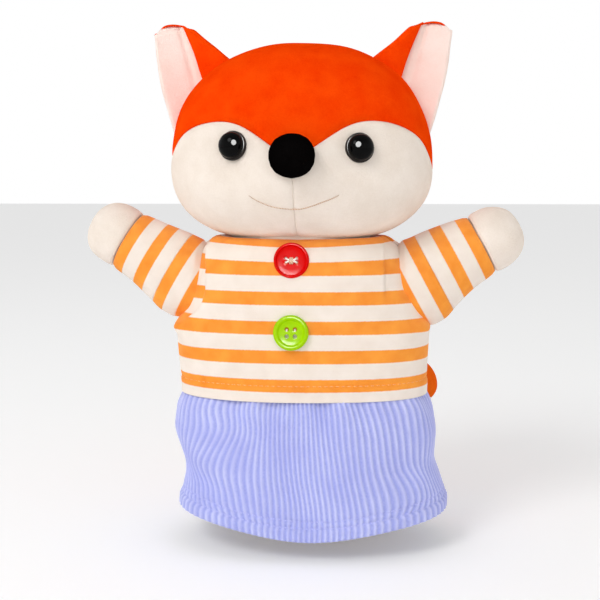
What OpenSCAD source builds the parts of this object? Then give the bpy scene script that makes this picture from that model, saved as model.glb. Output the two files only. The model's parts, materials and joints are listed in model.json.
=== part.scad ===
// Fox hand puppet: a stuffed head over a striped shirt, corduroy trousers, two arms and a tail.
// Millimetres. Origin: middle of the hand opening. +Z up, the puppet looks along -Y, +X is its own left.

/* [Head] */
// Width of the head across the cheeks
head_w = 140; // [118:1:168]
// Depth of the head without its muzzle
head_d = 104; // [88:1:124]
// Height from the widest line of the head up to its crown
head_up = 63; // [52:1:75]
// Height from the widest line of the head down to its underside
head_down = 43; // [36:1:52]
// How far the muzzle stands out under the nose
muzzle_out = 8; // [3:1:12]
// How far the underside of the head sinks below the shoulder line
head_sink = 0.6; // [0:0.1:1]

/* [Ears] */
// Elevation of the outer end of the ear seam on the head, in degrees
ear_low = 16; // [10:1:22]
// Elevation of the inner end of the ear seam on the head, in degrees
ear_high = 54; // [46:1:62]
// Height of an ear's tip above its seam, measured square to the seam
ear_len = 34; // [26:1:42]
// How far an ear leans up towards the crown, measured along the seam
ear_lean = 16.5; // [8:0.5:22]
// Width of an ear at its tip
ear_tip_w = 17; // [10:1:22]
// How deep the ear is cupped
ear_cup = 5; // [2:0.5:8]
// Thickness of the wadding in an ear
ear_wad = 3.2; // [2:0.2:5]

/* [Face] */
// Width of the nose
nose_w = 22.6; // [16:0.2:28]
// Diameter of an eye's dome
eye_dia = 13; // [9:0.5:16]
// Turn of an eye away from the middle of the face, in degrees
eye_turn = 33; // [26:1:38]
// Rise of the eyes above the widest line of the head, in degrees
eye_rise = 6; // [2:1:12]
// Diameter of an eye's shank
shank_dia = 4.4; // [3:0.2:5]

/* [Body] */
// Width of the hand opening at the trouser hem
hem_w = 144; // [120:1:172]
// Depth of the hand opening at the trouser hem
hem_d = 88; // [76:1:104]
// Width of the shirt at its hem
waist_w = 134; // [118:1:150]
// Depth of the shirt at its hem
waist_d = 75; // [64:1:88]
// Width of the shirt at the underarm
chest_w = 139; // [124:1:156]
// Width across the shoulders
shoulder_w = 104; // [94:1:116]
// Width of the neckline
neckline_w = 80; // [66:1:88]
// Depth of the neckline
neckline_d = 58; // [48:1:62]
// Length of trousers that shows below the shirt
trouser_len = 61.5; // [50:0.5:74]
// Length of the shirt from its hem to the shoulder
shirt_len = 82.5; // [76:0.5:99]
// How far the trousers run up under the shirt
tuck = 13; // [8:1:18]
// How far the neckline dips at the front and back
neck_dip = 5; // [4.5:0.5:8]

/* [Arms] */
// Diameter of the armhole in the shirt
armhole_dia = 47.2; // [39.2:0.2:50]
// Length of an arm from the middle of the armhole to the tip of the paw
arm_len = 61; // [50:1:74]
// Length of the sleeve from the middle of the armhole
sleeve_len = 38.4; // [32:0.2:44]
// Diameter of the sleeve at its end
cuff_dia = 33; // [31:0.5:36]
// Bore of the finger pocket in each arm
pocket_dia = 24; // [20:0.5:25]
// Rise of the left arm above level, in degrees
left_lift = 28.5; // [24:0.5:32]
// Rise of the right arm above level, in degrees
right_lift = 31; // [24:0.5:32]

/* [Neck] */
// Bore of the finger tube in the head
finger_dia = 21; // [17:0.5:21.5]
// Depth of the finger tube in the head
finger_depth = 56; // [42:1:64]
// Outer diameter of the neck tube
neck_dia = 27; // [26.4:0.1:27.6]

/* [Buttons] */
// Diameter of a shirt button
button_dia = 18; // [12:0.5:22]
// Thickness of a shirt button at its rim
button_t = 3; // [2:0.1:4]
// Diameter of each hole in a button
button_hole = 2.4; // [1.8:0.1:3]
// Height of the upper button below the shoulder
button_drop = 10.5; // [9:0.5:14]
// Distance between the two buttons
button_gap = 36; // [26:0.5:42]

/* [Tail] */
// Diameter of the tail at its thickest
tail_dia = 25; // [18:0.5:27]
// Share of the tail that is orange before its pale tip
tail_split = 0.74; // [0.6:0.02:0.84]

/* [Cloth] */
// Thickness of the velour skins
velour_t = 1.4; // [1:0.1:2]
// Thickness of the shirt jersey
jersey_t = 1.2; // [0.8:0.1:1.6]
// Thickness of the corduroy
cord_t = 1.6; // [1.2:0.1:2.2]
// Thickness of the lining cloth
lining_t = 0.8; // [0.6:0.1:1.2]
// Clear space between two layers of cloth
layer_gap = 0.4; // [0.3:0.05:0.6]

/* [Hidden] */

$fn = 48;
LEFT = 1;
RIGHT = -1;
ORANGE_FUR = "#F9440A";
CREAM_FUR = "#F4E9DE";
ORANGE_JERSEY = "#FDA233";
PERIWINKLE = "#AEB5F3";
LINING = "#EFE6DA";
WADDING = "#FBFAF7";
BLACK = "#0B090A";

// Grid of every panel: a column each 10 degrees round the Z axis
step = 10;
front = [for (u = [180:step:360]) u];
back = [for (u = [0:step:180]) u];
around = [for (u = [0:step:350]) u];

shoulder_z = trouser_len + shirt_len;
head_z = shoulder_z - head_sink + head_down;
neck_pivot_z = shoulder_z + 4;
// Roundness of the head seen from above, over its widest line and under it
plan_power = 2.35;
crown_power = 2.25;
chin_power = 2.7;
body_power = 2.4;

// Point on a superellipse with half axes a and b at the angle u
function oval(a, b, u, n) =
    let (r = pow(pow(abs(cos(u)) / a, n) + pow(abs(sin(u)) / b, n), -1 / n)) [r * cos(u), r * sin(u)];

// Closed or open cloth panel between an outer and an inner grid of points
module panel(outer, inner, wrap = false, pole = false) {
    rows = len(outer);
    cols = len(outer[0]);
    half = rows * cols;
    last = wrap ? cols : cols - 1;
    function id(r, c) = pole && r == rows - 1 ? r * cols : r * cols + c % cols;
    function quad(a, b, c, d) = concat(a == b ? [] : [[a, b, c]], c == d ? [] : [[a, c, d]]);
    skin = [for (r = [0:rows - 2], c = [0:last - 1])
        each quad(id(r, c), id(r, c + 1), id(r + 1, c + 1), id(r + 1, c))];
    lining = [for (r = [0:rows - 2], c = [0:last - 1])
        each quad(half + id(r, c + 1), half + id(r, c), half + id(r + 1, c), half + id(r + 1, c + 1))];
    foot = [for (c = [0:last - 1]) each quad(half + id(0, c), half + id(0, c + 1), id(0, c + 1), id(0, c))];
    top = pole ? [] : [for (c = [0:last - 1])
        each quad(id(rows - 1, c), id(rows - 1, c + 1), half + id(rows - 1, c + 1), half + id(rows - 1, c))];
    start = wrap ? [] : [for (r = [0:rows - 2])
        each quad(id(r, 0), id(r + 1, 0), half + id(r + 1, 0), half + id(r, 0))];
    end = wrap ? [] : [for (r = [0:rows - 2])
        each quad(half + id(r, last), half + id(r + 1, last), id(r + 1, last), id(r, last))];
    faces = concat(skin, lining, foot, top, start, end);
    polyhedron([for (grid = [outer, inner], row = grid, p = row) p], [for (f = faces) [f[2], f[1], f[0]]]);
}

// Solid between the rings of a grid, closed by a flat cap at each end or by a pole at the top
module plug(grid, pole = false) {
    rows = len(grid);
    cols = len(grid[0]);
    walls = [for (r = [0:rows - (pole ? 3 : 2)], c = [0:cols - 1])
        let (a = r * cols + c, b = r * cols + (c + 1) % cols) each [[a, b, b + cols], [a, b + cols, a + cols]]];
    ring = (rows - 2) * cols;
    tip = pole ? [for (c = [0:cols - 1]) [ring + c, ring + (c + 1) % cols, (rows - 1) * cols]]
        : [[for (c = [0:cols - 1]) (rows - 1) * cols + c]];
    base = [[for (c = [cols - 1:-1:0]) c]];
    polyhedron([for (row = grid, p = row) p],
        [for (f = concat(base, walls, tip)) [for (i = [len(f) - 1:-1:0]) f[i]]]);
}

// ---- Head ----

// Unit vector at the turn u round Z and the rise v above level
function aim(u, v) = [cos(v) * cos(u), cos(v) * sin(u), sin(v)];

// How far u lies from the middle of the face
function off_front(u) = abs(u - 270);

// The muzzle's bulge, as a share of its height
function muzzle(u, v) = exp(-pow(off_front(u) / 24, 2) - pow((v + 6) / 20, 2));

// Point of the head's surface in the direction of u and v, sunk below it by inset
function head_at(u, v, inset = 0) =
    let (d = aim(u, v), n = d.z > 0 ? crown_power : chin_power,
        plan = pow(abs(d.x) / (head_w / 2 - inset), plan_power) + pow(abs(d.y) / (head_d / 2 - inset), plan_power),
        sum = pow(plan, n / plan_power) + pow(abs(d.z) / ((d.z > 0 ? head_up : head_down) - inset), n))
    [0, 0, head_z] + d * (pow(sum, -1 / n) + muzzle_out * muzzle(u, v));

// Outward direction of the head's surface
function head_normal(u, v) =
    let (a = head_at(u + 1, v) - head_at(u - 1, v), b = head_at(u, v + 1) - head_at(u, v - 1), n = cross(a, b))
    n / norm(n);

// Rise of the seam between the pale face and the orange crown
brow_peak = 38;
function brow(u) = let (f = off_front(u))
    f < brow_peak ? 2 + 17 * pow(sin(90 * f / brow_peak), 1.5)
    : 1.5 + 17.5 * pow(max(0, cos(90 * (f - brow_peak) / (90 - brow_peak))), 1.2);

neck_hole_r = neck_dia / 2 + 4.4;
chin_rise = -atan(head_down / neck_hole_r);

// Rows of head points between two rises that may change with u
function head_rows(us, low, high, count, inset) =
    [for (i = [0:count]) [for (k = [0:len(us) - 1])
        head_at(us[k], low[k] + (high[k] - low[k]) * i / count, inset)]];

module head_panel(us, low, high, count, pole) {
    panel(head_rows(us, low, high, count, 0), head_rows(us, low, high, count, velour_t), pole = pole);
}

module head_crown() {
    color(ORANGE_FUR)
    head_panel(front, [for (u = front) brow(u)], [for (u = front) 90], 7, true);
}

module face_cloth(side) {
    us = [for (u = front) if (side * (u - 270) >= 0) u];
    difference() {
        head_panel(us, [for (u = us) chin_rise], [for (u = us) brow(u)], 7, false);
        at_eye(side) cylinder(d = shank_dia + 0.6, h = 30, center = true);
    }
}

module face_left() { color(CREAM_FUR) face_cloth(LEFT); }
module face_right() { color(CREAM_FUR) face_cloth(RIGHT); }

module back_cloth(side) {
    us = [for (u = back) if (side * (90 - u) >= 0) u];
    head_panel(us, [for (u = us) chin_rise], [for (u = us) 90], 12, true);
}

module head_back_left() { color(ORANGE_FUR) back_cloth(LEFT); }
module head_back_right() { color(ORANGE_FUR) back_cloth(RIGHT); }

// Room for the flats of the skins' facets
facet_room = 1.2;
stuffing_inset = velour_t + layer_gap + facet_room;
washer_dia = 11;
washer_t = 2;
shank_len = 14;
neck_socket_r = neck_dia / 2 + 1.6;
finger_wall = 0.8;
finger_base_z = neck_pivot_z + 2;

module head_stuffing() {
    color(WADDING)
    difference() {
        plug(head_rows(around, [for (u = around) chin_rise], [for (u = around) 90], 13, stuffing_inset), pole = true);
        translate([0, 0, shoulder_z - 20])
            cylinder(r = finger_dia / 2 + finger_wall + layer_gap, h = finger_base_z + finger_depth + 2 - shoulder_z + 20);
        translate([0, 0, neck_pivot_z]) sphere(r = neck_socket_r);
        for (side = [LEFT, RIGHT]) at_eye(side)
            translate([0, 0, -shank_len - 1]) cylinder(d = washer_dia + 1, h = shank_len + 12);
    }
}

module finger_tube() {
    r = finger_dia / 2;
    color(LINING)
    translate([0, 0, finger_base_z])
    difference() {
        union() {
            cylinder(r = r + finger_wall, h = finger_depth);
            translate([0, 0, finger_depth]) cylinder(r = r + finger_wall, h = finger_wall);
        }
        translate([0, 0, -1]) cylinder(r = r, h = finger_depth + 1);
    }
}

// ---- Face ----

module at_eye(side) {
    u = 270 + side * eye_turn;
    n = head_normal(u, eye_rise);
    translate(head_at(u, eye_rise)) rotate([0, 90 - asin(n.z), atan2(n.y, n.x)]) children();
}

dome_h = 5;

module eye(side) {
    r = eye_dia / 2;
    dome_r = (r * r + dome_h * dome_h) / (2 * dome_h);
    color(BLACK)
    at_eye(side) {
        translate([0, 0, layer_gap]) rotate_extrude() intersection() {
            translate([0, dome_h - dome_r]) circle(r = dome_r);
            square([r, dome_h + 1]);
        }
        translate([0, 0, -shank_len]) cylinder(d = shank_dia, h = shank_len + layer_gap + 1);
    }
}

module eye_left() { eye(LEFT); }
module eye_right() { eye(RIGHT); }

module eye_washer(side) {
    color("white")
    at_eye(side) translate([0, 0, -shank_len + 3]) difference() {
        cylinder(d = washer_dia, h = washer_t);
        translate([0, 0, -1]) cylinder(d = shank_dia + 0.1, h = washer_t + 2);
    }
}

module eye_washer_left() { eye_washer(LEFT); }
module eye_washer_right() { eye_washer(RIGHT); }

nose_rise = 1.5;
nose_seat_y = -(head_d / 2 + muzzle_out + layer_gap);
nose_sunk = 2.2;

// The nose's ball of radius r, cut flat where it sits on the muzzle
module nose_ball(r, seat) {
    intersection() {
        translate([0, nose_seat_y + nose_sunk, head_z + nose_rise]) sphere(r = r);
        translate([-nose_w, seat - 2 * nose_w, head_z - nose_w]) cube([2 * nose_w, 2 * nose_w, 2 * nose_w]);
    }
}

module nose_cover() {
    color(BLACK)
    difference() {
        nose_ball(nose_w / 2, nose_seat_y);
        nose_ball(nose_w / 2 - velour_t, nose_seat_y + 1);
    }
}

module nose_wadding() {
    color(WADDING) nose_ball(nose_w / 2 - velour_t - layer_gap, nose_seat_y - layer_gap);
}

thread_r = 0.6;
smile_turn = 24;
smile_drop = -23;
smile_curl = 8;

// Tube of radius r with 6 sides along a path of points that runs across X
module thread(path, r) {
    sides = 6;
    rings = [for (p = path) [for (k = [0:sides - 1]) p + [0, r * cos(k * 360 / sides), r * sin(k * 360 / sides)]]];
    plug(rings);
}

module mouth_stitch() {
    path = [for (f = [-1:0.2:1])
        let (u = 270 + f * smile_turn, v = smile_drop + smile_curl * f * f)
        head_at(u, v, -thread_r - layer_gap)];
    color("#C79C78") thread(path, thread_r);
}

// ---- Ears ----

// Point of an ear: s runs along its seam, t from seam to tip, out is its place across the ear's thickness
function ear_at(side, s, t, out) =
    let (rise = ear_low + (ear_high - ear_low) * s,
        cup = -ear_cup * pow(2 * s - 1, 2) + out,
        seam = head_at(side > 0 ? 0 : 180, rise),
        turn = atan2(cup, side * seam.x),
        foot = head_at(side > 0 ? turn : 180 - turn, rise, -layer_gap),
        low = head_at(0, ear_low), high = head_at(0, ear_high),
        mid = (low + high) / 2, along = (high - low) / norm(high - low),
        tip = mid + [along.z, 0, -along.x] * ear_len + along * ear_lean
            + [ear_tip_w * (0.5 - s), 0, 3 * sin(180 * s)],
        tip_at = [side * tip.x, cup * 0.5 + out * 0.2, tip.z])
    foot + (tip_at - foot) * t;

function ear_grid(side, out) = [for (t = [0:0.2:1]) [for (s = [0:0.125:1]) ear_at(side, s, t, out)]];

ear_skin = ear_wad / 2 + layer_gap;

module ear_layer(side, near, far) {
    if (side > 0) panel(ear_grid(side, near), ear_grid(side, far));
    else panel([for (row = ear_grid(side, near)) [for (i = [len(row) - 1:-1:0]) row[i]]],
        [for (row = ear_grid(side, far)) [for (i = [len(row) - 1:-1:0]) row[i]]]);
}

module ear_front(side) { color(CREAM_FUR) ear_layer(side, -ear_skin - velour_t, -ear_skin); }
module ear_wadding(side) { color(WADDING) ear_layer(side, -ear_wad / 2, ear_wad / 2); }
module ear_back(side) { color(ORANGE_FUR) ear_layer(side, ear_skin, ear_skin + velour_t); }

module ear_front_left() { ear_front(LEFT); }
module ear_front_right() { ear_front(RIGHT); }
module ear_wadding_left() { ear_wadding(LEFT); }
module ear_wadding_right() { ear_wadding(RIGHT); }
module ear_back_left() { ear_back(LEFT); }
module ear_back_right() { ear_back(RIGHT); }

// ---- Body ----

arm_x = waist_w / 2 - 6;
arm_z = shoulder_z - 22;
underarm_z = arm_z - armhole_dia / 2 + 1;
armhole_r = armhole_dia / 2;

// Half width and half depth of the body's outer cloth at each height
width_at = [[0, hem_w / 2], [trouser_len / 2, hem_w / 2 - 2], [trouser_len, waist_w / 2],
    [underarm_z, chest_w / 2], [arm_z, arm_x + 0.5], [shoulder_z - 6, shoulder_w / 2 + 2],
    [shoulder_z - 1.5, shoulder_w / 2 - 2], [shoulder_z, neckline_w / 2]];
depth_at = [[0, hem_d / 2], [trouser_len / 2, hem_d / 2 - 3], [trouser_len, waist_d / 2],
    [underarm_z, waist_d / 2], [arm_z, waist_d / 2 - 1.5], [shoulder_z - 6, neckline_d / 2 + 4],
    [shoulder_z - 1.5, neckline_d / 2 + 2], [shoulder_z, neckline_d / 2]];

// How much of the neckline's dip reaches the height z
function dip(z) = neck_dip * pow(max(0, (z - arm_z) / (shoulder_z - arm_z)), 1.5);

// Rows of body points at the heights zs, sunk below the outer cloth by inset
function body_rows(us, zs, inset) =
    [for (z = zs) [for (u = us)
        let (p = oval(lookup(z, width_at) - inset, lookup(z, depth_at) - inset, u, body_power))
        [p.x, p.y, z - dip(z) * pow(sin(u), 2) - (z > arm_z ? inset * (z - arm_z) / (shoulder_z - arm_z) : 0)]]];

shirt_zs = concat([for (i = [0:3]) trouser_len + (underarm_z - trouser_len) * i / 3],
    [arm_z - 10, arm_z, arm_z + 8, shoulder_z - 6, shoulder_z - 1.5, shoulder_z]);
trouser_top_z = trouser_len + tuck;
trouser_zs = [0, 6, trouser_len / 2, trouser_len - 4];
turn_in_z = trouser_len - 0.5;
tuck_inset = jersey_t + layer_gap;
lining_inset = tuck_inset + cord_t + layer_gap;
facing_t = 1.2;
facing_h = 12;

module armholes() {
    for (side = [LEFT, RIGHT]) translate([side * arm_x, 0, arm_z]) sphere(r = armhole_r);
}

module shirt_cloth(us) {
    difference() {
        panel(body_rows(us, shirt_zs, 0), body_rows(us, shirt_zs, jersey_t));
        armholes();
    }
}

module shirt_front() { color(ORANGE_JERSEY) shirt_cloth(front); }
module shirt_back() { color(ORANGE_JERSEY) shirt_cloth(back); }

// The trousers hang free below the shirt and turn in under it
function trouser_rows(us, inset) = concat(body_rows(us, trouser_zs, inset),
    body_rows(us, [turn_in_z, trouser_top_z], inset + tuck_inset));

module trouser_cloth(us) { panel(trouser_rows(us, 0), trouser_rows(us, cord_t)); }

module trousers_front() { color(PERIWINKLE) trouser_cloth(front); }
module trousers_back() { color(PERIWINKLE) trouser_cloth(back); }

module hem_facing() {
    near = cord_t + layer_gap;
    color(PERIWINKLE)
    panel(body_rows(around, [0.5, facing_h], near), body_rows(around, [0.5, facing_h], near + facing_t), wrap = true);
}

lining_zs = [1, 6, trouser_len / 2, trouser_len - 4, turn_in_z, trouser_top_z, underarm_z, arm_z, arm_z + 8,
    shoulder_z - 6];

module lining_cloth(us) {
    near = max(lining_inset, cord_t + facing_t + 2 * layer_gap);
    difference() {
        panel(body_rows(us, lining_zs, near), body_rows(us, lining_zs, near + lining_t));
        armholes();
    }
}

module lining_front() { color(LINING) lining_cloth(front); }
module lining_back() { color(LINING) lining_cloth(back); }

neck_facing_z = arm_z + 8;
neck_r = neck_dia / 2;

module neck_facing() {
    inset = lining_inset + lining_t + layer_gap + 1.5;
    // The lining leans in and hangs lower as it rises, so the facing is cut for a height above its own
    rim_z = neck_facing_z + facing_t + 2;
    color(LINING)
    translate([0, 0, neck_facing_z]) linear_extrude(facing_t) difference() {
        polygon([for (u = around) oval(lookup(rim_z, width_at) - inset - 3,
            lookup(rim_z, depth_at) - inset, u, body_power)]);
        circle(r = neck_r + layer_gap + 0.6);
        for (side = [LEFT, RIGHT]) translate([side * arm_x, 0]) circle(r = armhole_r);
    }
}

// ---- Neck ----

neck_wall = 0.8;
neck_low_z = neck_facing_z - 12;

module neck_tube() {
    color(CREAM_FUR)
    translate([0, 0, neck_low_z]) difference() {
        cylinder(r = neck_r, h = shoulder_z - neck_low_z);
        translate([0, 0, -1]) cylinder(r = neck_r - neck_wall, h = shoulder_z - neck_low_z + 2);
    }
}

module neck_band() {
    color(CREAM_FUR)
    translate([0, 0, neck_facing_z + facing_t + layer_gap]) difference() {
        cylinder(r = neck_r + 5, h = 1.6);
        translate([0, 0, -1]) cylinder(r = neck_r + 0.1, h = 4);
    }
}

// ---- Buttons ----

button_x = -2.5;

// Places its children on the front of the shirt at the height z, looking outwards
module on_chest(z) {
    half = button_dia / 2;
    lean = atan2(lookup(z - half, depth_at) - lookup(z + half / 2, depth_at), 1.5 * half);
    out = max([for (i = [-4:4]) let (h = half * i / 4) lookup(z + h, depth_at) + h * tan(lean)]);
    translate([button_x, -out - layer_gap, z]) rotate([90 - lean, 0, 0]) children();
}

upper_button_z = shoulder_z - button_drop;
lower_button_z = upper_button_z - button_gap;
hole_reach = button_dia * 0.15;
rim_w = button_dia * 0.14;

module button_disc() {
    r = button_dia / 2;
    difference() {
        cylinder(r = r, h = button_t);
        translate([0, 0, button_t - 1]) cylinder(r = r - rim_w, h = 2);
        for (a = [45:90:315]) rotate(a) translate([hole_reach, 0, -1]) cylinder(d = button_hole, h = button_t + 2);
    }
}

module button_stitches() {
    r = button_hole / 2 - 0.5;
    across = hole_reach * cos(45);
    for (a = [45:90:315]) rotate(a) translate([hole_reach, 0, 0.1]) cylinder(r = r, h = button_t);
    for (side = [-1, 1]) translate([side * across - r - 0.2, -across - r - 0.2, button_t - 0.7])
        cube([2 * r + 0.4, 2 * (across + r + 0.2), 1]);
}

module button_upper() { color("#E8110C") on_chest(upper_button_z) button_disc(); }
module button_lower() { color("#AEE000") on_chest(lower_button_z) button_disc(); }
module button_thread_upper() { color(CREAM_FUR) on_chest(upper_button_z) button_stitches(); }
module button_thread_lower() { color("white") on_chest(lower_button_z) button_stitches(); }

// ---- Arms ----

nest_gap = 0.4;
band_t = 1;
band_r = armhole_r - nest_gap;
sleeve_root_r = band_r - band_t - nest_gap - 0.8;
pocket_wall = 0.8;
pocket_start = 3;
pocket_end = sleeve_len - 4;
paw_r = cuff_dia / 2;
paw_start = sleeve_len + 0.3;

function lift(side) = side > 0 ? left_lift : right_lift;

// Turns a shape along +Z into the arm's direction and puts it at the armhole
module at_arm(side) {
    translate([side * arm_x, 0, arm_z]) rotate([0, side * (90 - lift(side)), 0]) children();
}

// The cloth band that the sleeve is gathered on, part of a ball round the armhole's middle
module armhole_band(side) {
    color(CREAM_FUR)
    at_arm(side) rotate_extrude() intersection() {
        difference() {
            circle(r = band_r);
            circle(r = band_r - band_t);
        }
        translate([band_r / 2, -band_r * 0.53]) square([band_r, band_r * 0.2]);
    }
}

module armhole_band_left() { armhole_band(LEFT); }
module armhole_band_right() { armhole_band(RIGHT); }

module sleeve(side) {
    root = sleeve_root_r;
    mid = root - 1.4;
    color(ORANGE_JERSEY)
    at_arm(side) rotate_extrude()
    polygon([[root, 1.5], [mid, 12], [paw_r, sleeve_len], [paw_r - jersey_t, sleeve_len],
        [mid - jersey_t, 12], [root - jersey_t, 1.5]]);
}

module sleeve_left() { sleeve(LEFT); }
module sleeve_right() { sleeve(RIGHT); }

module arm_pocket(side) {
    r = pocket_dia / 2;
    color(LINING)
    at_arm(side) translate([0, 0, pocket_start]) difference() {
        cylinder(r = r + pocket_wall, h = pocket_end - pocket_start);
        translate([0, 0, -1]) cylinder(r = r, h = pocket_end - pocket_start + 1 - pocket_wall);
    }
}

module arm_pocket_left() { arm_pocket(LEFT); }
module arm_pocket_right() { arm_pocket(RIGHT); }

// Rounded outline of the paw, grown or sunk by inset
module paw_outline(inset, start) {
    r = paw_r + 0.6 - inset;
    body = arm_len - paw_start - paw_r - 0.6;
    intersection() {
        union() {
            translate([0, paw_start + body]) circle(r = r);
            translate([0, start]) square([r, paw_start + body - start]);
        }
        translate([0, start]) square([2 * r, arm_len]);
    }
}

module paw_skin(side) {
    color(CREAM_FUR)
    at_arm(side) rotate_extrude() difference() {
        paw_outline(0, paw_start);
        paw_outline(velour_t, paw_start - 1);
    }
}

module paw_skin_left() { paw_skin(LEFT); }
module paw_skin_right() { paw_skin(RIGHT); }

module paw_wadding(side) {
    color(WADDING)
    at_arm(side) rotate_extrude() paw_outline(velour_t + layer_gap, paw_start + layer_gap);
}

module paw_wadding_left() { paw_wadding(LEFT); }
module paw_wadding_right() { paw_wadding(RIGHT); }

// ---- Tail ----

tail_root_x = 16;
tail_root_z = trouser_len + 15;
tail_root_y = waist_d / 2 + 6.5;
tail_knob_r = 4.5;
tail_guide = [[0, 0, 0], [24, 10, 16], [70, 11, -14], [34, 11, -42]];

// Point of the tail's middle line, and its direction
function tail_at(t) = [tail_root_x, tail_root_y, tail_root_z]
    + pow(1 - t, 3) * tail_guide[0] + 3 * pow(1 - t, 2) * t * tail_guide[1]
    + 3 * (1 - t) * t * t * tail_guide[2] + t * t * t * tail_guide[3];
function tail_way(t) = let (d = tail_at(t + 0.01) - tail_at(t - 0.01)) d / norm(d);

// Radius of the tail along its length
function tail_r(t) = tail_dia / 2 * pow(sin(180 * pow(min(t, 0.995), 0.85)), 0.55);

tail_start = 0.08;
tail_sides = 14;

function tail_ring(t, inset) =
    let (w = tail_way(t), side = cross(w, [0, 1, 0]), x = side / norm(side), y = cross(w, x), r = max(0.5, tail_r(t) - inset))
    [for (k = [0:tail_sides - 1]) tail_at(t) + x * r * cos(k * 360 / tail_sides) + y * r * sin(k * 360 / tail_sides)];

function tail_rows(from, to, count, inset) =
    [for (i = [0:count]) tail_ring(from + (to - from) * i / count, inset)];

tail_end = 0.975;

module tail_skin() {
    color(ORANGE_FUR)
    panel(tail_rows(tail_start, tail_split, 9, 0), tail_rows(tail_start, tail_split, 9, velour_t), wrap = true);
}

module tail_tip() {
    color(CREAM_FUR)
    panel(tail_rows(tail_split, tail_end, 5, 0), tail_rows(tail_split, tail_end, 5, velour_t), wrap = true);
}

module tail_wadding() {
    color(WADDING) plug(tail_rows(tail_start + 0.02, tail_end, 13, velour_t + layer_gap));
}

module tail_root() {
    color(ORANGE_FUR)
    translate([tail_root_x, tail_root_y, tail_root_z]) {
        sphere(r = tail_knob_r);
        rotate([90, 0, 0]) cylinder(r = tail_knob_r - 1.5, h = tail_root_y - waist_d / 2 - layer_gap);
    }
}

shirt_front();
shirt_back();
trousers_front();
trousers_back();
lining_front();
lining_back();
hem_facing();
neck_facing();
button_upper();
button_lower();
button_thread_upper();
button_thread_lower();
tail_root();
neck_tube();
neck_band();
head_crown();
face_left();
face_right();
head_back_left();
head_back_right();
head_stuffing();
finger_tube();
ear_front_left();
ear_front_right();
ear_wadding_left();
ear_wadding_right();
ear_back_left();
ear_back_right();
eye_left();
eye_right();
eye_washer_left();
eye_washer_right();
nose_cover();
nose_wadding();
mouth_stitch();
armhole_band_left();
armhole_band_right();
sleeve_left();
sleeve_right();
arm_pocket_left();
arm_pocket_right();
paw_skin_left();
paw_skin_right();
paw_wadding_left();
paw_wadding_right();
tail_skin();
tail_tip();
tail_wadding();
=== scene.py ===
# %% [markdown]
# # A fox hand puppet
# The puppet is sewn from three cloths: short-pile velour for the head, paws and tail, a striped jersey
# for the shirt, and corduroy for the trousers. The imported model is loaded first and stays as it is. It
# says where every piece goes, so each soft piece is built round it in the same frame, in metres.

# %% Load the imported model
import json
import math

import bpy
import numpy as np
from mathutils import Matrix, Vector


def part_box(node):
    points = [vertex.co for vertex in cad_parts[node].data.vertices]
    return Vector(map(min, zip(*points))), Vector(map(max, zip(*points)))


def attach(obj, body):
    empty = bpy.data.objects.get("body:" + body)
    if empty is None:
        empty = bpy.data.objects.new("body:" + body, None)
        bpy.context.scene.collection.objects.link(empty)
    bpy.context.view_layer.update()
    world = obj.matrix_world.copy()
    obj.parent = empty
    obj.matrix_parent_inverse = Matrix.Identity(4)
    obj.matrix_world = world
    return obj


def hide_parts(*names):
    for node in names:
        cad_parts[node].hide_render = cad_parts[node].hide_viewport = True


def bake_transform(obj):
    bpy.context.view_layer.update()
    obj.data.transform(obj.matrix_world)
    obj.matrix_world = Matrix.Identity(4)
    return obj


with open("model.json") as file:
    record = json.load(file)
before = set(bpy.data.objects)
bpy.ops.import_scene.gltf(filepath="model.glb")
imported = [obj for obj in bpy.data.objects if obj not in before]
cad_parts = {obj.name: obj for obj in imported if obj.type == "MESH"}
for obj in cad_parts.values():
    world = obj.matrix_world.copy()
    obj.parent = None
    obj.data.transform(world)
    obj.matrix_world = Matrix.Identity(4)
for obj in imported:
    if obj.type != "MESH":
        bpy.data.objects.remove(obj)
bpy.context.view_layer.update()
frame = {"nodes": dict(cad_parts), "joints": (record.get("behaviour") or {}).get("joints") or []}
MM = 0.001
JOINTS = {joint["name"]: np.array(joint["pos_m"]) / MM for joint in frame["joints"]}

# %% [markdown]
# ## The camera
# The camera comes first, because everything is judged through it. The puppet is seen from a little to
# its own left and a little above, with a short telephoto lens, which keeps the head and hem in
# proportion. The camera looks at a point on the shirt.

# %% Camera
LOOK_AT = np.array([-1.0, 0.0, 110.0])
CAMERA_TURN = 4.6
CAMERA_DISTANCE = 560.0
CAMERA_RISE = 60.0
CAMERA_LENS = 62.7


def add_camera():
    turn = math.radians(CAMERA_TURN)
    place = LOOK_AT + [CAMERA_DISTANCE * math.sin(turn), -CAMERA_DISTANCE * math.cos(turn), CAMERA_RISE]
    data = bpy.data.cameras.new("camera")
    data.lens = CAMERA_LENS
    data.clip_start = 0.01
    camera = bpy.data.objects.new("camera", data)
    bpy.context.scene.collection.objects.link(camera)
    camera.location = place * MM
    way = (LOOK_AT - place) * MM
    camera.rotation_euler = Vector(way).to_track_quat("-Z", "Y").to_euler()
    bpy.context.scene.camera = camera
    return camera


camera = add_camera()
print("camera", [round(x, 3) for x in camera.location])

# %% [markdown]
# ## Sizes
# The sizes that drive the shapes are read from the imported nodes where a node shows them. The rest are
# the design's own values, in millimetres. Two tables give the body's half width and half depth at each
# height, and the head is a rounded box whose roundness differs above and below its widest line.

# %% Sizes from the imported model
def box_mm(node):
    low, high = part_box(node)
    return np.array(low) / MM, np.array(high) / MM


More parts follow.
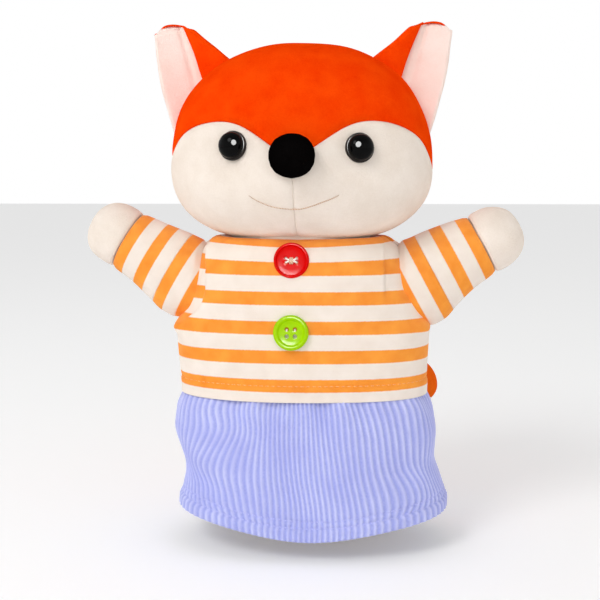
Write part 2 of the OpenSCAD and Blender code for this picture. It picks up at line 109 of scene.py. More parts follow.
HEM_Z, SHOULDER_Z = box_mm("shirt_back")[0][2], box_mm("shirt_back")[1][2]
HEAD_HALF_W, HEAD_HALF_D, HEAD_TOP = box_mm("head_back_left")[1]
HEAD_UP, HEAD_DOWN = 63.0, 43.0
HEAD_SETTLE = 3.0
HEAD_Z = HEAD_TOP - HEAD_UP - HEAD_SETTLE
MUZZLE_OUT = 8.0
CHIN_RISE = -67.4
NOSE_LOW, NOSE_HIGH = box_mm("nose_cover")
ARM_PIVOT = {1: JOINTS["arm_left_raise"], -1: JOINTS["arm_right_raise"]}
SIDE_NAME = {1: "left", -1: "right"}
ARM_LIFT = {1: 28.5, -1: 31.0}
SLEEVE_LEN, ARM_LEN = 38.4, 61.0
TAIL_ROOT = JOINTS["tail_wag"]
print("hem", round(HEM_Z, 1), "shoulder", round(SHOULDER_Z, 1), "head", round(HEAD_Z, 1), "tail", TAIL_ROOT)

# %% [markdown]
# ## Making cloth meshes
# Every cloth panel is a grid of points: its columns run across the cloth and its rows along it. One
# helper turns such a grid into a mesh and stores where each point lies on the flat cloth, in
# millimetres, as an attribute named cloth. Stripes and ribs are drawn from it, so they follow the cloth.

# %% Grid helpers
def smoothstep(low, high, x):
    t = np.clip((np.asarray(x, float) - low) / (high - low), 0, 1)
    return t * t * (3 - 2 * t)


def grid_faces(rows, cols, wrap=False):
    last = cols if wrap else cols - 1
    return [(r * cols + c, r * cols + (c + 1) % cols, (r + 1) * cols + (c + 1) % cols, (r + 1) * cols + c)
            for r in range(rows - 1) for c in range(last)]


def new_piece(name, mesh):
    piece = bpy.data.objects.new(name, mesh)
    bpy.context.scene.collection.objects.link(piece)
    return piece


def cloth_piece(name, grid, cloth=None, wrap=False, start_cap=False, end_cap=False, keep=None):
    """A mesh object from a grid of points in mm; a cap closes the first or last row."""
    rows, cols = grid.shape[:2]
    points = grid.reshape(-1, 3)
    faces = grid_faces(rows, cols, wrap)
    if keep is not None:
        faces = [f for f in faces if all(keep.reshape(-1)[list(f)])]
    if start_cap:
        faces.append(tuple(reversed(range(cols))))
    if end_cap:
        faces.append(tuple((rows - 1) * cols + c for c in range(cols)))
    mesh = bpy.data.meshes.new(name)
    mesh.from_pydata((points * MM).tolist(), [], faces)
    if cloth is not None:
        layer = mesh.attributes.new("cloth", "FLOAT_VECTOR", "POINT")
        layer.data.foreach_set("vector", np.asarray(cloth, np.float32).reshape(-1))
    return new_piece(name, mesh)


def only(piece):
    bpy.ops.object.select_all(action="DESELECT")
    piece.select_set(True)
    bpy.context.view_layer.objects.active = piece


def finish_mesh(piece, weld=True, outward=True):
    """Merges doubles, drops loose points, turns faces outwards and shades smooth."""
    only(piece)
    bpy.ops.object.mode_set(mode="EDIT")
    bpy.ops.mesh.select_all(action="SELECT")
    if weld:
        bpy.ops.mesh.remove_doubles(threshold=0.02 * MM)
    bpy.ops.mesh.delete_loose()
    bpy.ops.mesh.select_all(action="SELECT")
    if outward:
        bpy.ops.mesh.normals_make_consistent(inside=False)
    bpy.ops.object.mode_set(mode="OBJECT")
    bpy.ops.object.shade_smooth()
    return piece


def apply_modifier(piece, kind, **settings):
    only(piece)
    modifier = piece.modifiers.new(kind.lower(), kind)
    for key, value in settings.items():
        setattr(modifier, key, value)
    bpy.ops.object.modifier_apply(modifier=modifier.name)


def subdivide(piece):
    apply_modifier(piece, "SUBSURF", levels=1, render_levels=1)


def thicken(piece, thickness):
    apply_modifier(piece, "SOLIDIFY", thickness=thickness * MM, offset=-1, use_quality_normals=True)
    return piece


def points_of(piece):
    co = np.zeros(len(piece.data.vertices) * 3, np.float32)
    piece.data.vertices.foreach_get("co", co)
    return co.reshape(-1, 3).astype(float) / MM


def set_points(piece, points):
    piece.data.vertices.foreach_set("co", (points * MM).astype(np.float32).reshape(-1))
    piece.data.update()


def normals_of(piece):
    normal = np.zeros(len(piece.data.vertices) * 3, np.float32)
    piece.data.vertices.foreach_get("normal", normal)
    return normal.reshape(-1, 3).astype(float)


def waves(points, length, seed):
    """Smooth rise and fall between -1 and 1, about length mm from crest to crest."""
    random = np.random.default_rng(seed)
    total = np.zeros(points.shape[:-1])
    for _ in range(7):
        way = random.normal(size=3)
        way *= 2 * math.pi / (np.linalg.norm(way) * length * random.uniform(0.8, 1.4))
        total += np.sin(points @ way + random.uniform(0, 2 * math.pi))
    return total / 4


def roughen(piece, height, length, seed):
    """Moves the points in and out along their normals by gentle waves."""
    points = points_of(piece)
    set_points(piece, points + normals_of(piece) * (height * waves(points, length, seed))[:, None])


# %% [markdown]
# ## Filling a skin with wadding
# A stuffed skin bulges between its seams, because the wadding pushes and the seams hold. Cloth
# simulation makes this shape by itself: the skin is blown up with a gentle pressure while the points on
# the seams are pinned. How far a point may move is capped, so the piece keeps its size.

# %% Cloth simulation of a stuffed skin
PUFF_FRAMES = 20


def puff(piece, pinned, pressure, cap):
    """Blows the piece up between its pinned points, and returns how far the points moved, in mm."""
    start = points_of(piece)
    group = piece.vertex_groups.new(name="seams")
    group.add([int(i) for i in np.flatnonzero(pinned)], 1.0, "REPLACE")
    only(piece)
    modifier = piece.modifiers.new("cloth", "CLOTH")
    settings = modifier.settings
    settings.use_pressure = True
    settings.uniform_pressure_force = pressure
    settings.effector_weights.gravity = 0
    settings.vertex_group_mass = "seams"
    settings.quality = 6
    modifier.collision_settings.use_collision = False
    modifier.point_cache.frame_start = 1
    modifier.point_cache.frame_end = PUFF_FRAMES
    for number in range(1, PUFF_FRAMES + 1):
        bpy.context.scene.frame_set(number)
    bpy.ops.object.modifier_apply(modifier=modifier.name)
    piece.vertex_groups.clear()
    bpy.context.scene.frame_set(1)
    moved = points_of(piece) - start
    far = np.linalg.norm(moved, axis=1, keepdims=True)
    moved *= cap * np.tanh(far / cap) / np.maximum(far, 1e-6)
    set_points(piece, start + moved)
    return float(np.linalg.norm(moved, axis=1).max())


# %% [markdown]
# ## Finishes
# Colours are written as sRGB hex values and turned linear by one function. One helper adds a shader
# node with its settings and links, so that each finish reads as a short list. Constant values are set
# on the shader's own sockets.

# %% Material helpers
def linear(hex_colour):
    parts = [int(hex_colour[i:i + 2], 16) / 255 for i in (1, 3, 5)]
    return tuple(p / 12.92 if p <= 0.04045 else ((p + 0.055) / 1.055) ** 2.4 for p in parts) + (1.0,)


def add_node(tree, kind, inputs=None, **settings):
    """Adds a node; inputs maps a socket to a value or to another node's output."""
    node = tree.nodes.new(kind)
    for key, value in settings.items():
        setattr(node, key, value)
    for socket, value in (inputs or {}).items():
        if isinstance(value, bpy.types.NodeSocket):
            tree.links.new(value, node.inputs[socket])
        else:
            node.inputs[socket].default_value = value
    return node


def new_finish(name):
    finish = bpy.data.materials.new(name)
    finish.use_nodes = True
    shader = finish.node_tree.nodes["Principled BSDF"]
    return finish, finish.node_tree, shader


def set_shader(tree, shader, links=None, **values):
    for key, value in values.items():
        shader.inputs[key.replace("_", " ")].default_value = value
    for socket, output in (links or {}).items():
        tree.links.new(output, shader.inputs[socket])


def noise(tree, size_mm, detail=2.0, roughness=0.5, vector=None):
    """Noise whose patches are about size_mm across."""
    if vector is None:
        vector = add_node(tree, "ShaderNodeTexCoord").outputs["Object"]
    return add_node(tree, "ShaderNodeTexNoise",
                    {"Vector": vector, "Scale": 1000 / size_mm, "Detail": detail, "Roughness": roughness})


def mix_colour(tree, factor, low, high):
    mix = add_node(tree, "ShaderNodeMix", data_type="RGBA")
    for socket, value in ((0, factor), (6, low), (7, high)):
        if isinstance(value, bpy.types.NodeSocket):
            tree.links.new(value, mix.inputs[socket])
        else:
            mix.inputs[socket].default_value = value
    return mix.outputs[2]


def ramp(tree, value, low, high):
    """Stretches value so that low gives 0 and high gives 1."""
    return add_node(tree, "ShaderNodeMapRange",
                    {"Value": value, "From Min": low, "From Max": high}).outputs["Result"]


def bump(tree, height, distance_mm, strength, under=None):
    inputs = {"Height": height, "Distance": distance_mm * MM, "Strength": strength}
    if under is not None:
        inputs["Normal"] = under
    return add_node(tree, "ShaderNodeBump", inputs).outputs["Normal"]


# %% [markdown]
# ### Velour
# Velour is a knitted cloth with a short cut pile. The pile leans here and there, so the cloth shows
# soft lighter and darker patches about a fingertip wide, and light catches the fibre ends at the edge
# of a shape. Patches come from a wide noise, the pile from a fine one, and the edge from sheen.

# %% Velour finish
PATCH_MM = 14.0
PILE_MM = 0.9


def velour(name, pale, deep, sheen, pile=0.5, rough=0.92, shine=0.0):
    """Cut pile: two shades in soft patches, fibre grain, and sheen at the edge."""
    finish, tree, shader = new_finish(name)
    patches = noise(tree, PATCH_MM, detail=3.0, roughness=0.55).outputs["Fac"]
    fibres = noise(tree, PILE_MM, detail=3.0, roughness=0.7).outputs["Fac"]
    shade = add_node(tree, "ShaderNodeMath", {0: ramp(tree, patches, 0.3, 0.7), 1: 0.6}, operation="MULTIPLY")
    grain = add_node(tree, "ShaderNodeMath", {0: ramp(tree, fibres, 0.25, 0.75), 1: 0.4}, operation="MULTIPLY")
    both = add_node(tree, "ShaderNodeMath", {0: shade.outputs[0], 1: grain.outputs[0]})
    colour = mix_colour(tree, both.outputs[0], linear(deep), linear(pale))
    normal = bump(tree, fibres, 0.5, pile)
    set_shader(tree, shader, {"Base Color": colour, "Normal": normal}, Roughness=rough,
               Sheen_Weight=sheen, Sheen_Roughness=0.45, Sheen_Tint=linear(pale), Specular_IOR_Level=shine)
    return finish


orange_velour = velour("orange_velour", "#FB4E08", "#ED3200", 0.3)
# The tail is cut from the crown's orange velour; its paler, yellower orange is painted light from the bright white
# backdrop.
lit_tail_velour = velour("lit_tail_velour", "#F8761E", "#E4560E", 0.3)
cream_velour = velour("cream_velour", "#F5EADF", "#E8DACC", 0.12, pile=0.5)
# The ear's front is the cream velour painted pinker, as painted shade for its cupped hollow.
shaded_ear_velour = velour("ear_velour_painted_pink_shade", "#F9E9E0", "#F6DBCF", 0.12, pile=0.5)
black_velour = velour("black_velour", "#0B0909", "#030202", 0.0, pile=0.9)
print("velours made")

# %% [markdown]
# ### Striped jersey
# The shirt is a brushed jersey with printed stripes. The stripe is drawn from the cloth attribute, so
# it runs level round the body and square to the arm in the sleeves. Its edges waver by a fraction of a
# millimetre, because the brushed face blurs the print.

# %% Striped jersey finish
STRIPE_PITCH = 14.9
STRIPE_HALF = 3.4
STRIPE_FIRST = 8.7
STRIPE_BLUR = 0.016


def striped_jersey():
    """Brushed cotton jersey: a soft dry face with faintly blurred stripes."""
    finish, tree, shader = new_finish("striped_jersey")
    place = add_node(tree, "ShaderNodeAttribute", attribute_name="cloth")
    split = add_node(tree, "ShaderNodeSeparateXYZ", {0: place.outputs["Vector"]})
    waver = noise(tree, 1.1).outputs["Fac"]
    shifted = add_node(tree, "ShaderNodeMath", {0: waver, 1: 0.4, 2: split.outputs[1]}, operation="MULTIPLY_ADD")
    turns = add_node(tree, "ShaderNodeMath",
                     {0: shifted.outputs[0], 1: 1 / STRIPE_PITCH, 2: 0.5 - (STRIPE_FIRST + 0.2) / STRIPE_PITCH},
                     operation="MULTIPLY_ADD")
    part = add_node(tree, "ShaderNodeMath", {0: turns.outputs[0]}, operation="FRACT")
    centred = add_node(tree, "ShaderNodeMath", {0: part.outputs[0], 1: 0.5}, operation="SUBTRACT")
    away = add_node(tree, "ShaderNodeMath", {0: centred.outputs[0]}, operation="ABSOLUTE")
    edge = STRIPE_HALF / STRIPE_PITCH
    stripe = ramp(tree, away.outputs[0], edge + STRIPE_BLUR, edge - STRIPE_BLUR)
    patches = noise(tree, 9.0, detail=3.0).outputs["Fac"]
    fibres = noise(tree, 0.8, detail=3.0, roughness=0.7).outputs["Fac"]
    light = ramp(tree, patches, 0.3, 0.7)
    orange = mix_colour(tree, light, linear("#F18A14"), linear("#FA9D2B"))
    cream = mix_colour(tree, light, linear("#EADCCF"), linear("#F0E4D9"))
    colour = mix_colour(tree, stripe, cream, orange)
    normal = bump(tree, fibres, 0.4, 0.35)
    set_shader(tree, shader, {"Base Color": colour, "Normal": normal}, Roughness=0.95,
               Sheen_Weight=0.1, Sheen_Roughness=0.5, Specular_IOR_Level=0.12)
    return finish


jersey = striped_jersey()

# %% [markdown]
# ### Corduroy
# Corduroy is woven with ribs of cut pile, called wales. The ribs are real in the mesh, and the cloth attribute says
# how high each point stands on its rib, so the grooves can be painted deeper as shade and the crests paler. A fleck of
# noise gives the broken look of the pile.

# %% Corduroy finish
def corduroy_finish():
    """Cotton corduroy: matt, pale on the crests of its ribs and painted deep as shade between them."""
    finish, tree, shader = new_finish("periwinkle_corduroy")
    place = add_node(tree, "ShaderNodeAttribute", attribute_name="cloth")
    height = add_node(tree, "ShaderNodeSeparateXYZ", {0: place.outputs["Vector"]}).outputs[2]
    fleck = noise(tree, 1.0, detail=3.0, roughness=0.7).outputs["Fac"]
    patches = noise(tree, 16.0, detail=3.0).outputs["Fac"]
    lifted = add_node(tree, "ShaderNodeMath", {0: fleck, 1: 0.9, 2: height}, operation="MULTIPLY_ADD")
    shade = ramp(tree, lifted.outputs[0], 0.25, 1.35)
    crest = mix_colour(tree, ramp(tree, patches, 0.35, 0.65), linear("#BABEF1"), linear("#C9CDF7"))
    # Painted shade: low on the rib the colour goes to the deep groove colour, high on it to the paler crest colour.
    colour = mix_colour(tree, shade, linear("#979FE4"), crest)
    normal = bump(tree, fleck, 0.5, 0.6)
    set_shader(tree, shader, {"Base Color": colour, "Normal": normal}, Roughness=0.95,
               Sheen_Weight=0.15, Sheen_Roughness=0.5, Specular_IOR_Level=0.12)
    return finish


corduroy = corduroy_finish()

# %% [markdown]
# ### Small finishes
# The lining is a plain weave, drawn as crossing threads. Sewing thread shows its twist as fine slanted
# bands. The eyes and buttons are moulded plastic with a polished face, so they are smooth and glossy
# with only faint waviness.

# %% Lining, thread and plastic
WEAVE_MM = 0.8
WAVE_TURN = 6.3
TWIST_SCALE = 480.0


def woven(name, pale, deep):
    """Plain woven cotton: crossing threads and a dry face."""
    finish, tree, shader = new_finish(name)
    where = add_node(tree, "ShaderNodeTexCoord").outputs["Object"]
    pattern = {"Vector": where, "Scale": 1000 / (WEAVE_MM * WAVE_TURN), "Distortion": 0.6}
    bands = [add_node(tree, "ShaderNodeTexWave", pattern, bands_direction=way).outputs["Fac"] for way in ("X", "Z")]
    weave = add_node(tree, "ShaderNodeMath", {0: bands[0], 1: bands[1]}, operation="MULTIPLY").outputs[0]
    colour = mix_colour(tree, weave, linear(deep), linear(pale))
    set_shader(tree, shader, {"Base Color": colour, "Normal": bump(tree, weave, 0.2, 0.4)}, Roughness=0.9,
               Specular_IOR_Level=0.15)
    return finish


def twisted(name, pale, deep):
    """Twisted thread: slanted bands a third of a millimetre wide with a faint shine."""
    finish, tree, shader = new_finish(name)
    where = add_node(tree, "ShaderNodeTexCoord").outputs["Object"]
    bands = add_node(tree, "ShaderNodeTexWave", {"Vector": where, "Scale": TWIST_SCALE, "Distortion": 0.4},
                     bands_direction="DIAGONAL").outputs["Fac"]
    colour = mix_colour(tree, bands, linear(deep), linear(pale))
    set_shader(tree, shader, {"Base Color": colour, "Normal": bump(tree, bands, 0.15, 0.5)}, Roughness=0.6,
               Specular_IOR_Level=0.3)
    return finish


def moulded(name, colour_a, colour_b, rough, specular):
    """Moulded plastic: even colour with a faint cloud, and a polished or satin face."""
    finish, tree, shader = new_finish(name)
    cloud = noise(tree, 6.0).outputs["Fac"]
    colour = mix_colour(tree, cloud, linear(colour_a), linear(colour_b))
    ripple = noise(tree, 3.0, detail=1.0).outputs["Fac"]
    set_shader(tree, shader, {"Base Color": colour, "Normal": bump(tree, ripple, 0.05, 0.15)}, Roughness=rough,
               Specular_IOR_Level=specular)
    return finish


lining_cloth = woven("lining_cotton", "#F3EBDF", "#DCCFBF")
pale_thread = twisted("pale_sewing_thread", "#FFF6EC", "#E2D2C2")
orange_thread = twisted("orange_sewing_thread", "#FFB455", "#E98A22")
blue_thread = twisted("periwinkle_sewing_thread", "#C2C6F6", "#9EA5E8")
smile_thread = twisted("tan_smile_thread", "#D2B59B", "#B08C6E")
tan_thread = twisted("tan_button_thread", "#E8C3A4", "#C99A78")
eye_black = moulded("polished_black_eye", "#040404", "#020202", 0.05, 0.075)
eye_rim_finish = moulded("satin_brown_eye_rim", "#231C16", "#14100D", 0.3, 0.15)
button_red = moulded("polished_red_button", "#E00502", "#D00100", 0.2, 0.035)
button_green = moulded("polished_green_button", "#A8DA00", "#9ACC00", 0.22, 0.06)
washer_plastic = moulded("white_washer_plastic", "#F4F3EF", "#E9E8E4", 0.5, 0.4)
print("materials", len(bpy.data.materials))


def paint(piece, finish):
    piece.data.materials.clear()
    piece.data.materials.append(finish)
    return piece


def place(piece, body, finish, slot, *nodes):
    """Paints a finished piece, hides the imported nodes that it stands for, and hangs it on its body."""
    paint(piece, finish)
    if nodes:
        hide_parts(*nodes)
    if body is not None:
        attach(piece, body)
    return piece

# %% [markdown]
# ## The head
# The head is one stuffed ball of five skins: an orange crown that runs down to the nose, two cream face
# panels with a seam down the chin, and two orange back panels. All five are cut from one grid whose
# lines run along the seams. The skins are blown up together with their seams pinned, then each seam is
# drawn in a little, as thread does, and the grid is parted into its panels.

# %% Head surface
PLAN_POWER, CROWN_POWER, CHIN_POWER = 2.35, 2.25, 2.7
BROW_PEAK = 38.0
FRONT = 270


def head_point(u, v, inset=0.0):
    """Points of the head's surface at the turn u and the rise v in degrees, sunk by inset."""
    u, v = np.broadcast_arrays(np.asarray(u, float), np.asarray(v, float))
    ur, vr = np.radians(u), np.radians(v)
    d = np.stack([np.cos(vr) * np.cos(ur), np.cos(vr) * np.sin(ur), np.sin(vr)], -1)
    up = d[..., 2] > 0
    n = np.where(up, CROWN_POWER, CHIN_POWER)
    plan = (np.abs(d[..., 0]) / (HEAD_HALF_W - inset)) ** PLAN_POWER \
        + (np.abs(d[..., 1]) / (HEAD_HALF_D - inset)) ** PLAN_POWER
    total = plan ** (n / PLAN_POWER) + (np.abs(d[..., 2]) / (np.where(up, HEAD_UP, HEAD_DOWN) - inset)) ** n
    front = np.abs((u % 360) - FRONT)
    muzzle = np.exp(-(front / 24) ** 2 - ((v + 6) / 20) ** 2)
    return np.array([0, 0, HEAD_Z]) + d * (total ** (-1 / n) + MUZZLE_OUT * muzzle)[..., None]


def brow(u):
    """Rise of the seam between the cream face and the orange crown; level behind the ears."""
    f = np.abs((np.asarray(u, float) % 360) - FRONT)
    inner = 2 + 17 * np.sin(np.radians(90 * np.minimum(f, BROW_PEAK) / BROW_PEAK)) ** 1.5
    outer_turn = 90 * np.clip((f - BROW_PEAK) / (90 - BROW_PEAK), 0, 1)
    return np.where(f < BROW_PEAK, inner, -2.0 + 21.0 * np.cos(np.radians(outer_turn)) ** 1.2)


def crowded(count, ease=0.55):
    """Steps from 0 to 1, closer together at both ends, where the seams are."""
    t = np.linspace(0, 1, count + 1)
    return t - ease * np.sin(2 * math.pi * t) / (2 * math.pi)


QUARTER, LOW_ROWS, HIGH_ROWS = 30, 22, 24
head_us = np.concatenate([90 * (k + crowded(QUARTER)[:-1]) for k in range(4)])
low_part, high_part = crowded(LOW_ROWS), crowded(HIGH_ROWS)
head_vs = np.concatenate([[CHIN_RISE + (brow(head_us) - CHIN_RISE) * t for t in low_part],
                          [brow(head_us) + (90 - brow(head_us)) * t for t in high_part[1:]]])
BROW_ROW = LOW_ROWS
print("head grid", head_vs.shape)

# %% [markdown]
# The safety eyes are pulled in by their washers, so each sits in a shallow dent, and the smile is
# stitched through the skin. Both are pressed into the puffed surface by how near a point is to them,
# and so are the seams.

# %% Head skins
SEAM_DEEP, SEAM_WIDE, CHIN_SEAM_DEEP = 1.2, 1.7, 0.7
EYE_AT = {1: (33.6, 6.0), -1: (32.0, 7.2)}
EYE_DENT, EYE_DENT_R = 3.0, 9.5
SMILE_TURN, SMILE_LOW, SMILE_CURVE = 24, -25.8, 8.5
CHEEK_TURN, CHEEK_V, CHEEK_OUT, CHEEK_R = 42, -20, 1.6, 17


def near_line(points, line):
    """Distance from each point to the nearest of a dense row of points."""
    far = np.full(len(points), 1e9)
    for spot in line:
        far = np.minimum(far, ((points - spot) ** 2).sum(1))
    return np.sqrt(far)


def smile_line(count):
    """Points of the stitched smile, and how far each lies from its middle, from -1 to 1."""
    f = np.linspace(-1, 1, count)
    return head_point(FRONT + SMILE_TURN * f, SMILE_LOW + SMILE_CURVE * f * f), f


def build_head():
    cols = len(head_us)
    grid = head_point(head_us[None, :], head_vs, 1.2)
    skin = cloth_piece("head_skin", grid, wrap=True, start_cap=True)
    rows = np.repeat(np.arange(len(head_vs)), cols)
    turn = np.tile(head_us, len(head_vs))
    is_front = turn >= 180
    chin_seam = (turn == FRONT) & (rows <= BROW_ROW) & (rows > 0)
    is_end = (rows == 0) | (rows == len(head_vs) - 1)
    on_seam = ((rows == BROW_ROW) & is_front) | is_end | np.isin(turn, (0, 90, 180))
    muzzle = np.exp(-(np.abs(turn - FRONT) / 20) ** 2 - ((head_vs.reshape(-1) + 6) / 16) ** 2)
    moved = puff(skin, on_seam | (muzzle > 0.6), pressure=4.0, cap=3.2)
    points = points_of(skin)
    start = grid.reshape(-1, 3)
    points = start + (points - start) * (1 - 0.8 * muzzle)[:, None]
    normal = normals_of(skin)
    sunk = SEAM_DEEP * np.exp(-(near_line(points, start[on_seam & ~is_end]) / SEAM_WIDE) ** 2)
    sunk += CHIN_SEAM_DEEP * np.exp(-(near_line(points, points[chin_seam]) / 1.1) ** 2)
    for side in (1, -1):
        eye = head_point(FRONT + side * EYE_AT[side][0], EYE_AT[side][1])
        sunk += EYE_DENT * np.exp(-(near_line(points, [eye]) / EYE_DENT_R) ** 2)
    mouth = smile_line(60)[0]
    sunk += 1.3 * np.exp(-(near_line(points, mouth[22:]) / 2.6) ** 2)
    for side in (-1, 1):
        cheek = head_point(FRONT + side * CHEEK_TURN, CHEEK_V)
        sunk -= CHEEK_OUT * np.exp(-(near_line(points, [cheek]) / CHEEK_R) ** 2)
    sunk -= 0.5 * waves(points, 34, 4)
    points -= normal * sunk[:, None]
    bpy.data.objects.remove(skin)
    return points.reshape(len(head_vs), cols, 3), moved


head_grid, head_moved = build_head()
print("head puffed by", round(head_moved, 2), "mm")

# %% [markdown]
# The puffed grid is now parted along its seams. Each panel keeps the points on its own edges, so
# neighbours meet exactly, and Solidify gives it the thickness of the velour, inwards.

# %% Head panels
VELOUR_T = 1.2
Q = QUARTER


def head_panel(name, nodes, rows, first, last, finish, slot):
    cols = [c % len(head_us) for c in range(first, last + 1)]
    panel = cloth_piece(name, head_grid[rows][:, cols])
    finish_mesh(panel, outward=False)
    subdivide(panel)
    thicken(panel, VELOUR_T)
    return place(panel, "head", finish, slot, *nodes)


face_rows, crown_rows, all_rows = slice(0, BROW_ROW + 1), slice(BROW_ROW, None), slice(0, None)
head_panel("crown_skin", ["head_crown", "head_stuffing"], crown_rows, 2 * Q, 4 * Q, orange_velour,
           "orange_velour")
head_panel("face_skin_right", ["face_right"], face_rows, 2 * Q, 3 * Q, cream_velour, "cream_velour")
head_panel("face_skin_left", ["face_left"], face_rows, 3 * Q, 4 * Q, cream_velour, "cream_velour")
head_panel("back_skin_left", ["head_back_left"], all_rows, 0, Q, orange_velour, "orange_velour")
head_panel("back_skin_right", ["head_back_right"], all_rows, Q, 2 * Q, orange_velour, "orange_velour")
print("head panels made")

# %% [markdown]
# ### The nose
# The nose is a small velour bag filled hard with wadding and sewn to the muzzle. It is a little wider
# than tall, flat where it is sewn on, and full in front. A grid of rings is shaped by formula.

# %% Nose
NOSE_POWER = 2.08
NOSE_WIDER = 0.5


def build_nose():
    wide, tall = (NOSE_HIGH[0] - NOSE_LOW[0]) / 2 + NOSE_WIDER, (NOSE_HIGH[2] - NOSE_LOW[2]) / 2
    middle = (NOSE_LOW + NOSE_HIGH) / 2 - [0, 0, HEAD_SETTLE]
    back = NOSE_HIGH[1] + 2.5
    deep = back - NOSE_LOW[1]
    turns = np.radians(np.arange(0, 360, 7.5))
    rows = []
    for t in np.linspace(0, 1, 25):
        reach = math.sin(math.pi / 2 * t) ** 0.92
        size = math.cos(math.pi / 2 * t) ** 0.62 if t < 1 else 0.0
        roll = 1 - 0.10 * math.exp(-(t / 0.12) ** 2)
        corner = (np.abs(np.cos(turns)) ** NOSE_POWER + np.abs(np.sin(turns)) ** NOSE_POWER) ** (-1 / NOSE_POWER)
        rows.append(np.stack([middle[0] + wide * size * roll * corner * np.cos(turns),
                              np.full(len(turns), back - deep * reach),
                              middle[2] + 0.3 + tall * 0.99 * size * roll * corner * np.sin(turns)], -1))
    nose = cloth_piece("nose_skin", np.array(rows), wrap=True, start_cap=True)
    finish_mesh(nose)
    subdivide(nose)
    roughen(nose, 0.12, 3.0, 8)
    return place(nose, "head", black_velour, "black_velour", "nose_cover", "nose_wadding")


build_nose()
print("nose made")

# %% [markdown]
# ### The smile
# The smile is one strand of tan thread, pulled tight so that it sinks into the face. A tube of eight
# sides follows the stitched line just under the velour's surface.

# %% Threads
def tube(path, radius, sides=8):
    """Rings of points round a path, for a thread."""
    path = np.asarray(path, float)
    way = np.gradient(path, axis=0)
    way /= np.linalg.norm(way, axis=1, keepdims=True)
    helper = np.where(np.abs(way[:, 2:3]) < 0.9, [[0, 0, 1.0]], [[0, 1.0, 0]])
    a = np.cross(way, helper)
    a /= np.linalg.norm(a, axis=1, keepdims=True)
    b = np.cross(way, a)
    turns = np.linspace(0, 2 * math.pi, sides, endpoint=False)
    radius = np.broadcast_to(np.asarray(radius, float), len(path))
    ring = a[:, None] * np.cos(turns)[:, None] + b[:, None] * np.sin(turns)[:, None]
    return path[:, None] + radius[:, None, None] * ring


def thread_piece(name, grids):
    """One mesh of several thread tubes, each closed at both ends."""
    points, faces = [], []
    for grid in grids:
        rows, cols = grid.shape[:2]
        base = sum(len(p) for p in points)
        points.append(grid.reshape(-1, 3))
        faces += [tuple(base + i for i in f) for f in grid_faces(rows, cols, wrap=True)]
        faces += [tuple(base + c for c in reversed(range(cols))),
                  tuple(base + (rows - 1) * cols + c for c in range(cols))]
    mesh = bpy.data.meshes.new(name)
    mesh.from_pydata((np.concatenate(points) * MM).tolist(), [], faces)
    return finish_mesh(new_piece(name, mesh), weld=False)


def on_head(target, out):
    """The nearest points of the puffed face to the target points, raised by out."""
    flat = head_grid[:BROW_ROW + 6, 2 * Q:].reshape(-1, 3)
    found = []
    for spot in target:
        far = ((flat - spot) ** 2).sum(1)
        close = np.argsort(far)[:6]
        weight = 1 / (far[close] + 0.3)
        found.append((flat[close] * weight[:, None]).sum(0) / weight.sum())
    found = np.array(found)
    away = found - np.array([0, 0, HEAD_Z])
    return found + out * away / np.linalg.norm(away, axis=1, keepdims=True)


mouth_path, mouth_f = smile_line(64)
mouth_path = on_head(mouth_path, 0.1)
for _ in range(6):
    mouth_path[1:-1] = (mouth_path[:-2] + 2 * mouth_path[1:-1] + mouth_path[2:]) / 4
mouth_r = 0.36 * (1 - 0.6 * np.abs(mouth_f) ** 6) * (0.75 + 0.25 * smoothstep(-0.6, 0.2, mouth_f))
smile = thread_piece("smile_stitch", [tube(mouth_path, mouth_r)])
place(smile, "head", smile_thread, "smile_thread", "mouth_stitch")
print("smile made")

# %% [markdown]
# ### The eyes
# A safety eye is a moulded dome on a shank, pushed through the cloth and held by a washer behind. The
# dome starts as a ball, is cut in half and flattened, and a turned ring is added round its foot: spinning
# a small profile about the eye's axis gives the ring in one step.

# %% Eyes
EYE_R, EYE_DOME_H, RIM_R = 6.5, 4.6, 7.3


def eye_frame(side):
    """Where an eye sits on the head, and the way it looks."""
    turn, v = EYE_AT[side]
    u = FRONT + side * turn
    across = head_point(u + 1, v) - head_point(u - 1, v)
    along = head_point(u, v + 1) - head_point(u, v - 1)
    out = np.cross(across, along)
    out /= np.linalg.norm(out)
    return head_point(u, v), out


def stand_on(piece, foot, out):
    """Turns a piece modelled along +Z to look along out, and puts its foot in place, in the mesh."""
    turn = Vector(out).to_track_quat("Z", "Y").to_matrix().to_4x4()
    piece.data.transform(Matrix.Translation(Vector(np.asarray(foot) * MM)) @ turn)
    piece.data.update()


def spun(name, profile, steps=48):
    """Turns a profile of (radius, height) points round the Z axis."""
    mesh = bpy.data.meshes.new(name)
    edges = [(i, i + 1) for i in range(len(profile) - 1)]
    mesh.from_pydata([(r * MM, 0, h * MM) for r, h in profile], edges, [])
    piece = new_piece(name, mesh)
    only(piece)
    bpy.ops.object.mode_set(mode="EDIT")
    bpy.ops.mesh.select_all(action="SELECT")
    bpy.ops.mesh.spin(steps=steps, angle=2 * math.pi, center=(0, 0, 0), axis=(0, 0, 1))
    bpy.ops.mesh.select_all(action="SELECT")
    bpy.ops.mesh.remove_doubles(threshold=0.01 * MM)
    bpy.ops.mesh.normals_make_consistent(inside=False)
    bpy.ops.object.mode_set(mode="OBJECT")
    bpy.ops.object.shade_smooth()
    return piece


